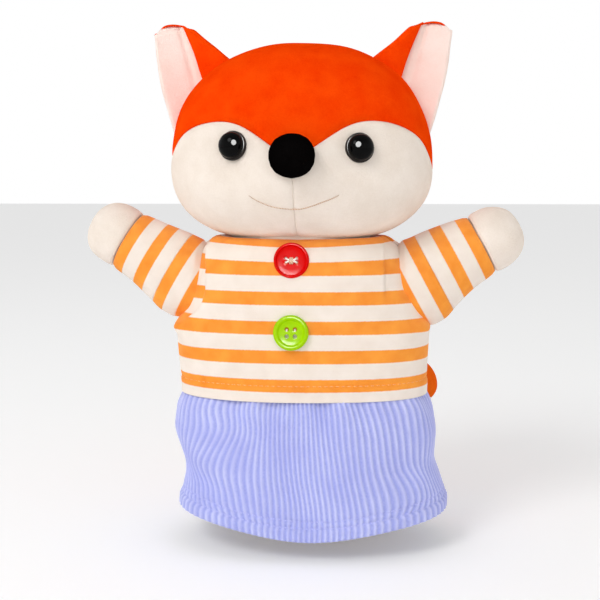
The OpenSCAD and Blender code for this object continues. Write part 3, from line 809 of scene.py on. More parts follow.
def build_eye(side):
    foot, out = eye_frame(side)
    foot = foot - out * 1.6
    bpy.ops.object.select_all(action="DESELECT")
    bpy.ops.mesh.primitive_uv_sphere_add(segments=48, ring_count=32, radius=EYE_R * MM)
    dome = bpy.context.object
    dome.name = f"eye_dome_{SIDE_NAME[side]}"
    bpy.ops.object.mode_set(mode="EDIT")
    bpy.ops.mesh.select_all(action="SELECT")
    bpy.ops.mesh.bisect(plane_co=(0, 0, -0.2 * MM), plane_no=(0, 0, 1), clear_inner=True, use_fill=True)
    bpy.ops.mesh.select_all(action="SELECT")
    bpy.ops.transform.resize(value=(1, 1, EYE_DOME_H / EYE_R))
    bpy.ops.object.mode_set(mode="OBJECT")
    bpy.ops.object.shade_smooth()
    stand_on(dome, foot + out * 0.7, out)
    place(dome, "head", eye_black, "black_gloss", f"eye_{SIDE_NAME[side]}")
    ring = [(EYE_R - 0.7, -1.5), (RIM_R - 0.3, -1.5), (RIM_R, -0.9), (RIM_R, 0.3), (RIM_R - 0.25, 0.9),
            (RIM_R - 0.7, 1.15), (EYE_R - 0.15, 1.0), (EYE_R - 0.7, 0.2), (EYE_R - 0.7, -1.5)]
    rim = spun(f"eye_rim_{SIDE_NAME[side]}", ring)
    apply_modifier(rim, "BEVEL", width=0.15 * MM, segments=2, limit_method="ANGLE")
    stand_on(rim, foot, out)
    place(rim, "head", eye_rim_finish, "black_gloss")


for side in (1, -1):
    build_eye(side)
print("eyes made")

# %% [markdown]
# ### The ears
# An ear is a flat bag with an orange back and a cream front, sewn into the seam that runs over the head from side to
# side. The cream front is painted pinker all over, as the shade in its cupped hollow. Its inner edge is folded
# forwards and caught in the seam, so the orange back comes round to the front as a narrow flap. Each ring of points is
# one slice across the ear: the front cloth runs from the outer seam to under the flap, and the back cloth runs round
# the fold and over.

# %% Ears
EAR_OUT_FOOT, EAR_FOLD_FOOT = np.array([67.5, 0.0, 202.5]), np.array([37.5, 0.0, 237.5])
EAR_OUT_TIP, EAR_FOLD_TIP = np.array([77.6, 0.0, 253.2]), np.array([58.6, 0.0, 254.6])
EAR_THICK, EAR_CLOTH_T = 2.6, 0.4
EAR_CUP = 5.0
FLAP_FOOT, FLAP_TIP = 0.60, 0.80


def ear_middle(s, t):
    """Point of the ear's middle sheet: s from the outer edge to the fold, t from foot to tip."""
    foot = EAR_OUT_FOOT + (EAR_FOLD_FOOT - EAR_OUT_FOOT) * s
    tip = EAR_OUT_TIP + (EAR_FOLD_TIP - EAR_OUT_TIP) * s + [0, 0, 1.2 * math.sin(math.pi * s)]
    spot = foot + (tip - foot) * t
    belly = math.sin(math.pi * t) * (1 - s) ** 2 * 2.4
    spot[0] += belly * 0.8
    corner = max(0.0, t - 0.86) / 0.14
    spot[2] -= 2.6 * corner ** 2 * (math.exp(-(s / 0.13) ** 2) + math.exp(-((1 - s) / 0.12) ** 2))
    spot[1] = -EAR_CUP * (2 * s - 1) ** 2 * (1 - 0.45 * t) + 1.5 - 1.5 * t
    return spot


def ear_slices(side):
    front, back = [], []
    for t in np.concatenate([np.linspace(-0.10, 0.9, 24), np.linspace(0.93, 1.0, 7)]):
        plump = EAR_THICK * math.sqrt(max(0.0, 1 - max(0.0, (t - 0.8) / 0.2) ** 2)) + 0.25
        edge = FLAP_FOOT + (FLAP_TIP - FLAP_FOOT) * np.clip(t, 0, 1) ** 1.3
        lift = np.array([0, -1.0, 0])
        row = []
        for s in np.linspace(-0.025, edge + 0.12, 24):
            dish = plump * math.sin(math.pi * min(1, 0.06 + max(0, s))) ** 0.35
            dish -= 1.2 * math.exp(-((s - edge + 0.16) / 0.05) ** 2) * min(1, 4 * max(0, t))
            row.append(ear_middle(s, t) + lift * (dish if s > 0 else 0.3))
        front.append(row)
        row = []
        for s in np.linspace(0, 0.94, 18):
            row.append(ear_middle(s, t) - lift * (plump * min(1, s / 0.08) ** 0.5 if s > 0 else 0))
        fold = ear_middle(0.94, t)
        for a in np.linspace(-80, 80, 9):
            turn = math.radians(a)
            way = ear_middle(1.0, t) - fold
            row.append(fold + way * math.cos(turn) + lift * (plump + 1.2) * math.sin(turn) + lift * 0.6)
        for s in np.linspace(0.9, edge, 9):
            roll = 0.7 * math.sin(math.pi * (s - edge) / (0.95 - edge))
            row.append(ear_middle(s, t) + lift * (plump + 2.2 + roll))
        for s_more, up in ((-0.03, 1.5), (-0.02, 0.4), (0.05, -0.6)):
            row.append(ear_middle(edge + s_more, t) + lift * (plump + up))
        back.append(row)
    front, back = np.array(front), np.array(back)
    across = np.arange(back.shape[1])[:, None]
    behind = across < 17
    arch = np.sin(np.pi * np.clip(across / 16, 0, 1)) ** 0.7
    rim = back[-1] * [1, 0, 1] + arch * [0, -2.3, 0.9] + (1 - arch) * [-0.9, -1.0, -0.8]
    lip = back[-1] * [1, 0, 1] + arch * [0, -2.8, -0.2] + (1 - arch) * [-1.2, -0.8, -1.6]
    over = [np.where(behind, rim, back[-1] + [0, 0, 0.1]), np.where(behind, lip, back[-1] + [0, 0.6, -0.9])]
    back = np.concatenate([back, over])
    for grid in (front, back):
        grid[..., 0] *= side
    return front, back


def build_ear(side):
    front, back = ear_slices(side)
    name = SIDE_NAME[side]
    for label, grid, finish, slot in (("front", front, shaded_ear_velour, "cream_velour"),
                                      ("back", back, orange_velour, "orange_velour")):
        piece = cloth_piece(f"ear_{label}_skin_{name}", grid)
        finish_mesh(piece, outward=False)
        points, normals = points_of(piece), normals_of(piece)
        faces_out = np.einsum("ij,ij->i", normals, points - points.mean(0)).mean()
        turned_in = normals[:, 1].mean() > 0 if label == "front" else faces_out < 0
        if turned_in:
            piece.data.flip_normals()
        subdivide(piece)
        roughen(piece, 0.35, 16, 11 + side)
        thicken(piece, EAR_CLOTH_T)
        nodes = [f"ear_{label}_{name}"] + ([f"ear_wadding_{name}"] if label == "back" else [])
        place(piece, "head", finish, slot, *nodes)


for side in (1, -1):
    build_ear(side)
print("ears made")

# %% [markdown]
# ## The body
# The shirt and trousers are soft tubes round the hand. One function gives the body's outline at each
# height as a rounded oval. The tables hold the half width and half depth, and are smoothed so that the
# cloth has no creases where the table's rows meet.

# %% Body outline
BODY_POWER = 2.4
SHIRT_TOP = 146.2
NECK_DIP = 2.4
WIDTH_AT = [(0, 72), (30, 70), (61.5, 66.6), (99.4, 68.6), (122, 61.5), (138, 54.5), (142.5, 52.0),
            (145, 46), (146, 40), (147, 34)]
DEPTH_AT = [(0, 44), (30, 41), (61.5, 37.5), (99.4, 38), (122, 37), (138, 35), (142.5, 33.5),
            (145, 29.5), (146, 25), (147, 21)]


def smooth_table(z, table, reach=4.0):
    heights, values = zip(*table)
    z = np.asarray(z, float)
    reach = np.minimum(reach, np.maximum(0.3, np.abs(SHIRT_TOP - z)))
    return sum(np.interp(z + reach * k, heights, values) for k in np.linspace(-1, 1, 9)) / 9


def oval(half_w, half_d, u, power=BODY_POWER):
    c, s = np.cos(np.radians(u)), np.sin(np.radians(u))
    r = ((np.abs(c) / half_w) ** power + (np.abs(s) / half_d) ** power) ** (-1 / power)
    return r * c, r * s


def body_point(u, z):
    """Points of the body's cloth at the turn u and height z; the neckline dips in front and behind."""
    u, z = np.broadcast_arrays(np.asarray(u, float), np.asarray(z, float))
    x, y = oval(smooth_table(z, WIDTH_AT), smooth_table(z, DEPTH_AT), u)
    sag = np.clip((z - 122) / 19, 0, 1) ** 1.5 * (1 - 0.8 * smoothstep(141, SHIRT_TOP, z))
    drop = NECK_DIP * sag * np.sin(np.radians(u)) ** 2
    return np.stack([x, y, z - drop], -1)


def outward(u, forth):
    """Unit directions out of the body at the turn u; forth weighs front and back against the sides."""
    way = np.stack([np.cos(np.radians(u)), forth * np.sin(np.radians(u)), 0 * u], -1)
    return way / np.linalg.norm(way, axis=-1, keepdims=True)


def body_level(p):
    """Below 0 inside the body, above 0 outside."""
    w, d = smooth_table(p[..., 2], WIDTH_AT), smooth_table(p[..., 2], DEPTH_AT)
    over = np.maximum(0, p[..., 2] - 146)
    return (np.abs(p[..., 0]) / w) ** BODY_POWER + (np.abs(p[..., 1]) / d) ** BODY_POWER - 1 + over


def arm_axes(side):
    """The arm's own directions: along it, across it forwards, and across it upwards."""
    lift = math.radians(ARM_LIFT[side])
    along = np.array([side * math.cos(lift), 0, math.sin(lift)])
    return along, np.array([0, -1.0, 0]), np.array([-side * math.sin(lift), 0, math.cos(lift)])


def arm_reach(points, side):
    """How far points lie along the arm from its pivot, and how far off its axis."""
    along = arm_axes(side)[0]
    rel = points - ARM_PIVOT[side]
    s = rel @ along
    return s, np.linalg.norm(rel - s[..., None] * along, axis=-1)


print("body outline ready; shoulder half width", round(float(smooth_table(138, WIDTH_AT)), 1))

# %% [markdown]
# ### The shirt
# The shirt has a front and a back, joined at the sides, with round armholes. Beside the puppet's right
# armhole a strip of the front lies a little deeper than the rest, and beside its left one runs a shallow
# tuck. Soft pulls run from under the arms, where the raised arms lift the cloth. The hem is turned up and
# stitched, so it stands out a little, and the neckline turns in under the head.

# %% Shirt panels
SHIRT_COLS, SHIRT_T = 150, 1.1
SLEEVE_R = 21.6
HOLE_R = 18.0
STRIP_WIDE, STRIP_DEEP = 5.6, 2.2
HEM_STITCH = 8.3
COLLAR_PRESS = 0.3
SHIRT_FORTH = 1.4


def shirt_folds(points, u, z):
    """How far the shirt's cloth stands out from the plain body shape."""
    out = 0.55 * waves(points, 42, 21) * smoothstep(61, 70, z)
    front = np.sin(np.radians(u)) < 0
    out -= 1.5 * np.exp(-((u - 180) / 24) ** 2) * (1 - smoothstep(100, 118, z))
    off = arm_reach(points, -1)[1]
    strip = front & (points[..., 0] < -20)
    deep = STRIP_DEEP * smoothstep(98, 108, z)
    out -= np.where(strip, deep * (1 - smoothstep(SLEEVE_R + STRIP_WIDE - 0.9, SLEEVE_R + STRIP_WIDE, off)), 0)
    out += np.where(strip, 0.35 * np.exp(-((off - SLEEVE_R - STRIP_WIDE - 1.2) / 1.3) ** 2), 0)
    tuck = front & (points[..., 0] > 30) & (z > 112)
    out -= np.where(tuck, 1.9 * smoothstep(44.4, 45.1, points[..., 0]) * smoothstep(112, 120, z), 0)
    for side in (1, -1):
        foot = ARM_PIVOT[side] + [side * 8.0, 0, -21.0]
        for turn, reach, deep in ((215, 38, 2.0), (196, 46, 1.7), (232, 26, 1.3)):
            a = math.radians(turn)
            way = np.array([side * math.cos(a), 0, math.sin(a)])
            rel = points - foot
            far = rel @ way
            off = np.linalg.norm(rel[..., [0, 2]] - far[..., None] * way[[0, 2]], axis=-1)
            fade = smoothstep(0, 8, far) * (1 - smoothstep(reach * 0.4, reach, far))
            out += deep * fade * np.exp(-(off / (2.2 + far * 0.08)) ** 2)
    return out


def under_head(grid):
    """Lowers what lies under the head, so that the head just rests in the collar."""
    plan = (np.abs(grid[..., 0]) / HEAD_HALF_W) ** PLAN_POWER + (np.abs(grid[..., 1]) / HEAD_HALF_D) ** PLAN_POWER
    depth = np.clip(1 - plan ** (CHIN_POWER / PLAN_POWER), 0, 1) ** (1 / CHIN_POWER)
    grid[..., 2] = np.minimum(grid[..., 2], HEAD_Z - HEAD_DOWN * depth + COLLAR_PRESS)
    return grid


def hem_fold(z):
    """The turned-up hem is one cloth thicker up to its stitching."""
    return 0.5 * (1 - smoothstep(HEM_Z + 7.4, HEM_Z + 8.8, z))


def hem_sway(u, z):
    """Slow waves of the hem, which fade out above it."""
    return 0.7 * np.sin(np.radians(3 * u + 40)) * (1 - smoothstep(HEM_Z, HEM_Z + 16, z))


def shirt_side(name, first, last, nodes):
    us = first + (last - first) * crowded(SHIRT_COLS, 0.35)
    zs = np.concatenate([HEM_Z + np.array([0.0, 0.35, 1.2]), np.linspace(HEM_Z + 2.4, 137, 62),
                         np.linspace(138, 145.7, 10)])
    u, z = np.meshgrid(us, zs)
    grid = body_point(u, z)
    strip_off = arm_reach(grid, -1)[1]
    in_strip = (u > 180) & (grid[..., 0] < -20) & (strip_off < SLEEVE_R + 5.3)
    out = shirt_folds(grid, u, z)
    out += hem_fold(z) - 0.5 * np.exp(-((z - HEM_Z - HEM_STITCH) / 0.8) ** 2)
    out += hem_sway(u, z)
    out -= 0.9 * np.exp(-(np.minimum(np.abs(u - first), np.abs(u - last)) / 1.3) ** 2)
    grid += outward(u, SHIRT_FORTH) * out[..., None]
    rows = [grid[-1] * [k, k, 1] + [0, 0, lift] for k, lift in ((0.93, 0.2), (0.80, -1.4), (0.70, -4.0))]
    grid = under_head(np.concatenate([grid, np.array(rows)]))
    step = np.linalg.norm(np.diff(grid[:, SHIRT_COLS // 2], axis=0), axis=1)
    along = np.concatenate([[0], np.cumsum(step)])
    across = np.tile((us - first) * 1.1, (len(grid), 1))
    level = np.tile(along[:, None], (1, len(us)))
    level[:len(zs)] -= np.where(in_strip, 1.7 * smoothstep(98, 106, z), 0)
    cloth = np.stack([across, level, np.zeros_like(across)], -1)
    keep = np.ones(grid.shape[:2], bool)
    for side in (1, -1):
        s, off = arm_reach(grid, side)
        keep &= ~((off < HOLE_R) & (s > -16) & (grid[..., 0] * side > 30))
    piece = cloth_piece(name, grid, cloth, keep=keep)
    finish_mesh(piece, outward=False)
    thicken(piece, SHIRT_T)
    area = sum(p.area for p in piece.data.polygons) / 2
    place(piece, "torso", jersey, "striped_jersey", *nodes)
    return area


front_area = shirt_side("shirt_front_panel", 180, 360, ["shirt_front"])
back_area = shirt_side("shirt_back_panel", 0, 180, ["shirt_back"])
print("shirt front and back", round(front_area * 1e4), round(back_area * 1e4), "cm2")

# %% [markdown]
# ### The sleeves
# Each sleeve is a tapered tube sewn into its armhole. It crosses two hinges, one that swings the arm and one that
# raises it, so it is made in two lengths that meet on one ring. The inner length runs from the shirt to the shoulder,
# and the outer length from the shoulder to the arm.

# %% Sleeves
ARM_TURNS = np.arange(0, 360, 4.5)
ROOT_END = 9.9
SLACK = {1: 4.5, -1: 1.0}
SLEEVE_STRIPE_AT, SLEEVE_PITCH = 6.6, 14.35
SLEEVE_AT = [(-8, 22.0), (0, 21.8), (12, 20.9), (27, 18.2), (38.4, 16.6), (40, 16.5)]


def sleeve_r(s):
    stations, radii = zip(*SLEEVE_AT)
    return sum(np.interp(s + k, stations, radii) for k in np.linspace(-3, 3, 7)) / 7


def sleeve_width(side, s, turn):
    """The sleeve's radius, wider below near the armhole, where the cloth hangs slack."""
    low_side = (0.5 - 0.5 * np.sin(np.radians(turn))) ** 1.5
    return sleeve_r(s) + SLACK[side] * low_side * np.exp(-(np.asarray(s) / 15) ** 2)


def arm_point(side, s, turn, radius, flat=0.95):
    along, forth, up = arm_axes(side)
    t = np.radians(turn)
    return ARM_PIVOT[side] + np.asarray(s)[..., None] * along \
        + (radius * flat * np.cos(t))[..., None] * forth + (radius * np.sin(t))[..., None] * up


def root_start(side):
    """Where the sleeve meets the shirt, along the arm, for each turn round it."""
    low, high = np.full(len(ARM_TURNS), -16.0), np.full(len(ARM_TURNS), 8.0)
    for _ in range(30):
        mid = (low + high) / 2
        inside = body_level(arm_point(side, mid, ARM_TURNS, sleeve_width(side, mid, ARM_TURNS))) < 0
        low, high = np.where(inside, mid, low), np.where(inside, high, mid)
    start = high
    for _ in range(4):
        start = (np.roll(start, 1) + 2 * start + np.roll(start, -1)) / 4
    return np.minimum(start, ROOT_END - 3)


def sleeve_folds(side, s, turn):
    """Ripples of the sleeve's cloth, strongest under the arm near the seam."""
    t = np.radians(turn)
    low_side = 0.5 - 0.5 * np.sin(t)
    ripple = 0.5 * np.sin(s / 3.1 + 1.2 * np.cos(t)) * low_side * np.exp(-((s - 4) / 9) ** 2)
    return ripple + 0.35 * np.sin(2 * t + s / 9 + side) + 0.25 * np.sin(3 * t - s / 7)


def sleeve_cloth(across, s):
    """Where points lie on the flat sleeve, with the stripes a little closer than the shirt's."""
    return np.stack([across, (s - SLEEVE_STRIPE_AT) * STRIPE_PITCH / SLEEVE_PITCH + STRIPE_FIRST, 0 * s], -1)


def build_sleeve(side):
    name = SIDE_NAME[side]
    start = root_start(side)
    parts = np.concatenate([[-0.22, -0.1], np.linspace(0, 1, 15) ** 1.3])
    s = start + (ROOT_END - start) * parts[:, None]
    turn = np.tile(ARM_TURNS, (len(parts), 1))
    pinch = 1.1 * np.exp(-(np.maximum(0, s - start) / 1.5) ** 2) + 0.8 * (parts[:, None] < 0)
    calm = smoothstep(0, 1, np.clip(parts[:, None], 0, 1))
    root = arm_point(side, s, turn, sleeve_width(side, s, turn) - pinch + sleeve_folds(side, s, turn) * calm)
    cloth = sleeve_cloth(turn * 0.36, s)
    piece = cloth_piece(f"sleeve_root_{name}", root, cloth, wrap=True)
    finish_mesh(piece)
    thicken(piece, SHIRT_T)
    place(piece, None, jersey, "striped_jersey", f"armhole_band_{name}")
    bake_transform(piece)
    s = np.linspace(ROOT_END, SLEEVE_LEN, 32)
    s[-1] = SLEEVE_LEN + 0.2
    s, turn = np.meshgrid(s, ARM_TURNS, indexing="ij")
    pinch = 0.9 * np.exp(-((SLEEVE_LEN - s) / 1.1) ** 2)
    calm = 1 - smoothstep(30, 38, s)
    outer = arm_point(side, s, turn, sleeve_width(side, s, turn) - pinch + sleeve_folds(side, s, turn) * calm)
    cloth = sleeve_cloth(turn * 0.33, s)
    piece = cloth_piece(f"sleeve_skin_{name}", outer, cloth, wrap=True)
    finish_mesh(piece)
    thicken(piece, SHIRT_T)
    place(piece, None, jersey, "striped_jersey", f"sleeve_{name}")
    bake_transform(piece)


for side in (1, -1):
    build_sleeve(side)
print("sleeves made")

# %% [markdown]
# ### The paws
# A paw is a cream velour mitten end, filled with wadding and sewn to the sleeve. It is a rounded tube
# that is blown up with its seam pinned, so that it swells a little just beyond the sleeve.

# %% Paws
PAW_R, PAW_ROUND, PAW_POWER = 16.75, 17.6, 2.35


def build_paw(side):
    name = SIDE_NAME[side]
    turns = np.arange(0, 360, 6)
    rows = []
    for t in np.concatenate([[0, 0.03], np.linspace(0.08, 1, 24)])[:-1]:
        s = SLEEVE_LEN + 0.2 + (ARM_LEN - SLEEVE_LEN - 0.4) * math.sin(math.pi / 2 * t)
        end = min(1.0, max(0.0, (s - ARM_LEN + PAW_ROUND) / PAW_ROUND))
        radius = PAW_R * (1 - end ** PAW_POWER) ** (1 / PAW_POWER) - math.exp(-((s - SLEEVE_LEN) / 1.4) ** 2)
        rows.append(arm_point(side, np.full(len(turns), s), turns, np.full(len(turns), max(radius, 0.2)), 0.97))
    grid = np.array(rows)
    paw = cloth_piece(f"paw_{name}", grid, wrap=True, start_cap=True, end_cap=True)
    row = np.repeat(np.arange(len(grid)), len(turns))
    moved = puff(paw, row < 2, pressure=4.0, cap=1.6)
    finish_mesh(paw)
    subdivide(paw)
    roughen(paw, 0.3, 18, 31 + side)
    place(paw, f"arm_{name}", cream_velour, "cream_velour", f"paw_skin_{name}", f"paw_wadding_{name}")
    return moved


print("paws puffed by", [round(build_paw(side), 2) for side in (1, -1)], "mm")

# %% [markdown]
# ### The trousers
# The trousers are two corduroy panels gathered under the shirt and left open below for the hand. The ribs
# are modelled: every rib takes eight columns of points, and the columns themselves sway, so that the ribs
# bend with the cloth. The hem is turned up and stitched twice, which leaves a fat rolled edge.

# %% Trouser panels
WALES, WALE_COLS, WALE_HIGH = 104, 8, 0.6
TROUSER_T = 1.3
LEG_W = [(-3, 71.0), (0, 71.6), (6, 71.8), (15, 69.0), (24, 67.0), (41, 69.6), (52, 68.3), (59, 66.2),
         (62.5, 63.9), (66, 61.8), (76, 61.5)]
LEG_D = [(-3, 43.6), (0, 44.2), (6, 44.2), (18, 41.8), (30, 41.4), (45, 40.6), (56, 38.6), (62.5, 35.4),
         (76, 35.2)]
LEG_SHIFT = [(-3, 6.0), (0, 6.0), (7, 6.0), (16, 5.3), (26, 3.2), (41, 1.8), (62, 1.0), (76, 0)]
HEM_DIP = 9.5
HEM_ROLL = np.array([0.9, 0.25, 0.0, 0.3, 1.0, 2.2, 3.6, 5.0])
ROLLED_IN = [2.6, 1.6, 0.7]
STITCH_ROWS = {"low": 6.4, "high": 9.5}
TROUSER_FORTH = 1.5


def leg_table(z, table, reach=3.0):
    heights, values = zip(*table)
    return sum(np.interp(z + reach * k, heights, values) for k in np.linspace(-1, 1, 7)) / 7


def hem_dip(u, z):
    """How far the trousers hang lower in front, near the hem."""
    facing = np.clip(-np.sin(np.radians(u)), 0, 1) ** 2
    return HEM_DIP * facing * (1 - smoothstep(2, 40, z))


def bulge(u, z, at_u, at_z, wide, tall):
    """A soft hill, 1 high at its middle, on the cloth's turn and height."""
    return np.exp(-((u - at_u) / wide) ** 2 - ((z - at_z) / tall) ** 2)


def trouser_side(name, first, last, nodes):
    wales = WALES // 2
    cols = wales * WALE_COLS + 1
    k = np.arange(cols) / WALE_COLS
    base = first + (last - first) * k / wales
    heights = np.concatenate([HEM_ROLL, np.linspace(6.0, 10.5, 10), np.linspace(12, 62.5, 34), [66, 72]])
    zs, u = np.meshgrid(heights, base, indexing="ij")
    sway_left = -9.0 * bulge(u, zs, 213, 22, 19, 12)
    sway_left += 4.0 * bulge(u, zs, 220, 46, 22, 9)
    sway_right = 5.0 * bulge(u, zs, 330, 17, 16, 11)
    slow = 0.5 * np.sin(np.radians(u * 7)) * np.sin(zs / 9 + np.radians(u * 3))
    u = u + (sway_left + sway_right + slow) * smoothstep(5, 11, zs) * (1 - smoothstep(56, 62, zs))
    x, y = oval(leg_table(zs, LEG_W), leg_table(zs, LEG_D), u)
    grid = np.stack([x, y, zs], -1)
    gather = 0.9 * np.sin(np.radians(u * 11)) + 0.6 * np.sin(np.radians(u * 17 + 30))
    out = gather * smoothstep(38, 60, zs) * (1 - smoothstep(61, 64, zs))
    out += 0.8 * np.sin(np.radians(u * 5 + 20)) * (1 - smoothstep(10, 40, zs)) * smoothstep(0, 9, zs)
    out += 1.1 * waves(grid, 34, 41) * smoothstep(8, 18, zs) * (1 - smoothstep(52, 61, zs))
    out -= 3.2 * bulge(u, zs, 206, 17, 11, 8) + 2.6 * bulge(u, zs, 331, 24, 9, 9)
    out += 1.6 * bulge(u, zs, 224, 36, 9, 13)
    low, high = STITCH_ROWS["low"], STITCH_ROWS["high"]
    out += 0.9 * (1 - smoothstep(5.6, 6.6, zs)) - 0.55 * np.exp(-((zs - low) / 0.6) ** 2) \
        - 0.5 * np.exp(-((zs - high) / 0.6) ** 2)
    out[:len(ROLLED_IN)] -= np.array(ROLLED_IN)[:, None]
    crest = (np.sin(math.pi * k) ** 2) ** 1.5
    wale = crest[None, :] * WALE_HIGH * (1 - 0.25 * np.exp(-((zs - low) / 0.7) ** 2))
    grid += outward(u, TROUSER_FORTH) * (out + wale)[..., None]
    grid[..., 0] += leg_table(zs, LEG_SHIFT)
    grid[..., 2] -= hem_dip(u, zs)
    # The third value, how high a point stands on its rib, drives the painted shade in the grooves.
    cloth = np.stack([u * 1.2, zs, np.broadcast_to(crest, zs.shape)], -1)
    piece = cloth_piece(name, grid, cloth)
    finish_mesh(piece, outward=False)
    thicken(piece, TROUSER_T)
    place(piece, "torso", corduroy, "periwinkle_corduroy", *nodes)
    return grid, heights


front_leg, leg_heights = trouser_side("trousers_front_panel", 180, 360, ["trousers_front"])
back_leg, _ = trouser_side("trousers_back_panel", 0, 180, ["trousers_back"])
print("trouser panels", front_leg.shape)

# %% [markdown]
# ### Hem stitching
# Stitches are short tubes that dip into the cloth at both ends. One function lays them along any line,
# each about as long as a sewing machine's stitch, with the thread resting in the cloth.

# %% Stitches
def stitches(name, line, radius, length, gap, out, body, finish):
    """Lays stitches along a line of points; out is each point's outward direction."""
    step = np.linalg.norm(np.diff(line, axis=0), axis=1)
    run = np.concatenate([[0], np.cumsum(step)])
    grids = []
    for begin in np.arange(0.5, run[-1] - length, length + gap):
        at = begin + length * np.array([0, 0.25, 0.75, 1])
        path = np.stack([np.interp(at, run, line[:, k]) for k in range(3)], -1)
        away = np.stack([np.interp(at, run, out[:, k]) for k in range(3)], -1)
        path += away * radius * np.array([-1.6, 0.3, 0.3, -1.6])[:, None]
        grids.append(tube(path, radius, sides=6))
    piece = thread_piece(name, grids)
    place(piece, body, finish, "sewing_thread")
    return len(grids)


def outward_of(line):
    away = line * [1, 1.9, 0]
    return away / np.linalg.norm(away, axis=1, keepdims=True)


count = 0
for label, first, last in (("front", 182, 358), ("back", 2, 178)):
    u = np.linspace(first, last, 300)
    z = np.full(300, HEM_Z + HEM_STITCH)
    line = body_point(u, z)
    away = outward(u, SHIRT_FORTH)
    plain = shirt_folds(line, u, z) + hem_fold(z) - 0.5
    plain += hem_sway(u, z)
    count += stitches(f"shirt_hem_stitches_{label}", line + away * (plain + 0.12)[:, None], 0.24, 2.1, 0.9, away,
                      "torso", orange_thread)
for label, leg in (("front", front_leg), ("back", back_leg)):
    for height, stitch_z in STITCH_ROWS.items():
        row = len(HEM_ROLL) + int(np.argmin(abs(leg_heights[len(HEM_ROLL):] - stitch_z)))
        line = leg[row][::3]
        count += stitches(f"trouser_hem_stitches_{height}_{label}", line + outward_of(line) * 0.15, 0.26, 2.6, 0.9,
                          outward_of(line), "torso", blue_thread)
print("stitches", count)

# %% [markdown]
# ### Inside the puppet
# A cotton lining hangs inside for the hand, with a corduroy facing round the hem. They show only from
# below, so plain smooth sheets are enough. The finger tube, the finger pockets and the neck tube keep
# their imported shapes, which are already right, and only get their cloth.

# %% Lining and facing
WAIST_Z, LINING_T, LINING_IN = 61, 0.7, 5.6


def inner_sheet(name, first, last, heights, inset, finish, slot, nodes):
    us = np.linspace(first, last, 61)
    z, u = np.meshgrid(heights, us, indexing="ij")
    in_leg = z < WAIST_Z
    x, y = oval(np.where(in_leg, leg_table(z, LEG_W), smooth_table(z, WIDTH_AT)) - inset,
                np.where(in_leg, leg_table(z, LEG_D), smooth_table(z, DEPTH_AT)) - inset, u)
    grid = np.stack([x + leg_table(z, LEG_SHIFT) * in_leg, y, z], -1)
    grid[..., 2] -= hem_dip(u, z)
    keep = np.ones(grid.shape[:2], bool)
    for side in (1, -1):
        s, off = arm_reach(grid, side)
        keep &= ~((off < HOLE_R) & (s > -20) & (grid[..., 0] * side > 28))
    piece = cloth_piece(name, grid, keep=keep)
    finish_mesh(piece, outward=False)
    thicken(piece, LINING_T)
    place(piece, "torso", finish, slot, *nodes)


lining_heights = np.concatenate([np.linspace(9, 58, 14), np.linspace(63, 134, 26)])
for label, first in (("front", 180), ("back", 0)):
    inner_sheet(f"lining_sheet_{label}", first, first + 180, lining_heights, LINING_IN, lining_cloth, "lining_cloth",
                [f"lining_{label}"])
inner_sheet("hem_facing_strip", 0, 360, np.linspace(0.8, 12, 8), 3.4, corduroy, "periwinkle_corduroy", ["hem_facing"])
print("lining made")

# %% [markdown]
# ### The neck
# The head turns and nods on a soft neck. A cream cuff closes the gap between the shirt's neckline and the underside of
# the head.

# %% Neck cuff
CUFF_LOW, CUFF_HIGH, CUFF_R = 136.5, 148.5, 24.5


def build_neck_cuff():
    heights = np.linspace(CUFF_LOW, CUFF_HIGH, 15)
    turns = np.arange(0, 360, 5)
    radius = CUFF_R + 5.0 * np.sin((heights - CUFF_LOW) / (CUFF_HIGH - CUFF_LOW) * math.pi) ** 0.8
    grid = np.array([np.stack([r * 1.25 * np.cos(np.radians(turns)), r * np.sin(np.radians(turns)),
                               np.full(len(turns), z)], -1) for r, z in zip(radius, heights)])
    cuff = cloth_piece("neck_cuff", grid, wrap=True)
    finish_mesh(cuff)
    thicken(cuff, 1.0)
    place(cuff, None, cream_velour, "cream_velour")
    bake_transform(cuff)


build_neck_cuff()
print("neck made")

# %% [markdown]
# ### The tail
# The tail is a stuffed velour sausage with a cream end, hung from the back of the shirt and curling
# round to the puppet's own left. Its middle line is a curve with four guide points, and its width swells
# and closes along it. The orange skin and the cream tip meet at a seam. The gathered root leaves the
# shirt squarely and bends round into the tail.

# %% Tail
TAIL_GUIDE = np.array([[0, 0, 0], [25, 10, -4], [84, 10, -22], [26, 11, -39.0]])
TAIL_R, TAIL_START, TAIL_END, TAIL_SPLIT = 11.3, 0.08, 0.985, 0.74
TAIL_SIDES, TAIL_T = 40, 0.8
ROOT_BEND = (((-7, -10.5, 0), 0, 6.4), ((-7, -7, 0), 0, 5.8), ((-6.4, -4, 0), 22, 5.2), ((-3.6, -1.6, 0), 50, 5.0))


def tail_at(t):
    t = np.asarray(t, float)[..., None]
    g = TAIL_GUIDE
    return TAIL_ROOT + (1 - t) ** 3 * g[0] + 3 * (1 - t) ** 2 * t * g[1] \
        + 3 * (1 - t) * t ** 2 * g[2] + t ** 3 * g[3]


def tail_r(t):
    return TAIL_R * np.sin(np.radians(180 * np.minimum(t, 0.995) ** 0.85)) ** 0.55


def tail_rings(ts, radius):
    way = tail_at(ts + 0.004) - tail_at(ts - 0.004)
    way /= np.linalg.norm(way, axis=1, keepdims=True)
    a = np.cross(way, [0, 1.0, 0])
    a /= np.linalg.norm(a, axis=1, keepdims=True)
    b = np.cross(way, a)
    turn = np.linspace(0, 2 * math.pi, TAIL_SIDES, endpoint=False)
    ring = a[:, None] * np.cos(turn)[:, None] + b[:, None] * np.sin(turn)[:, None]
    return tail_at(ts)[:, None] + radius[:, None, None] * ring


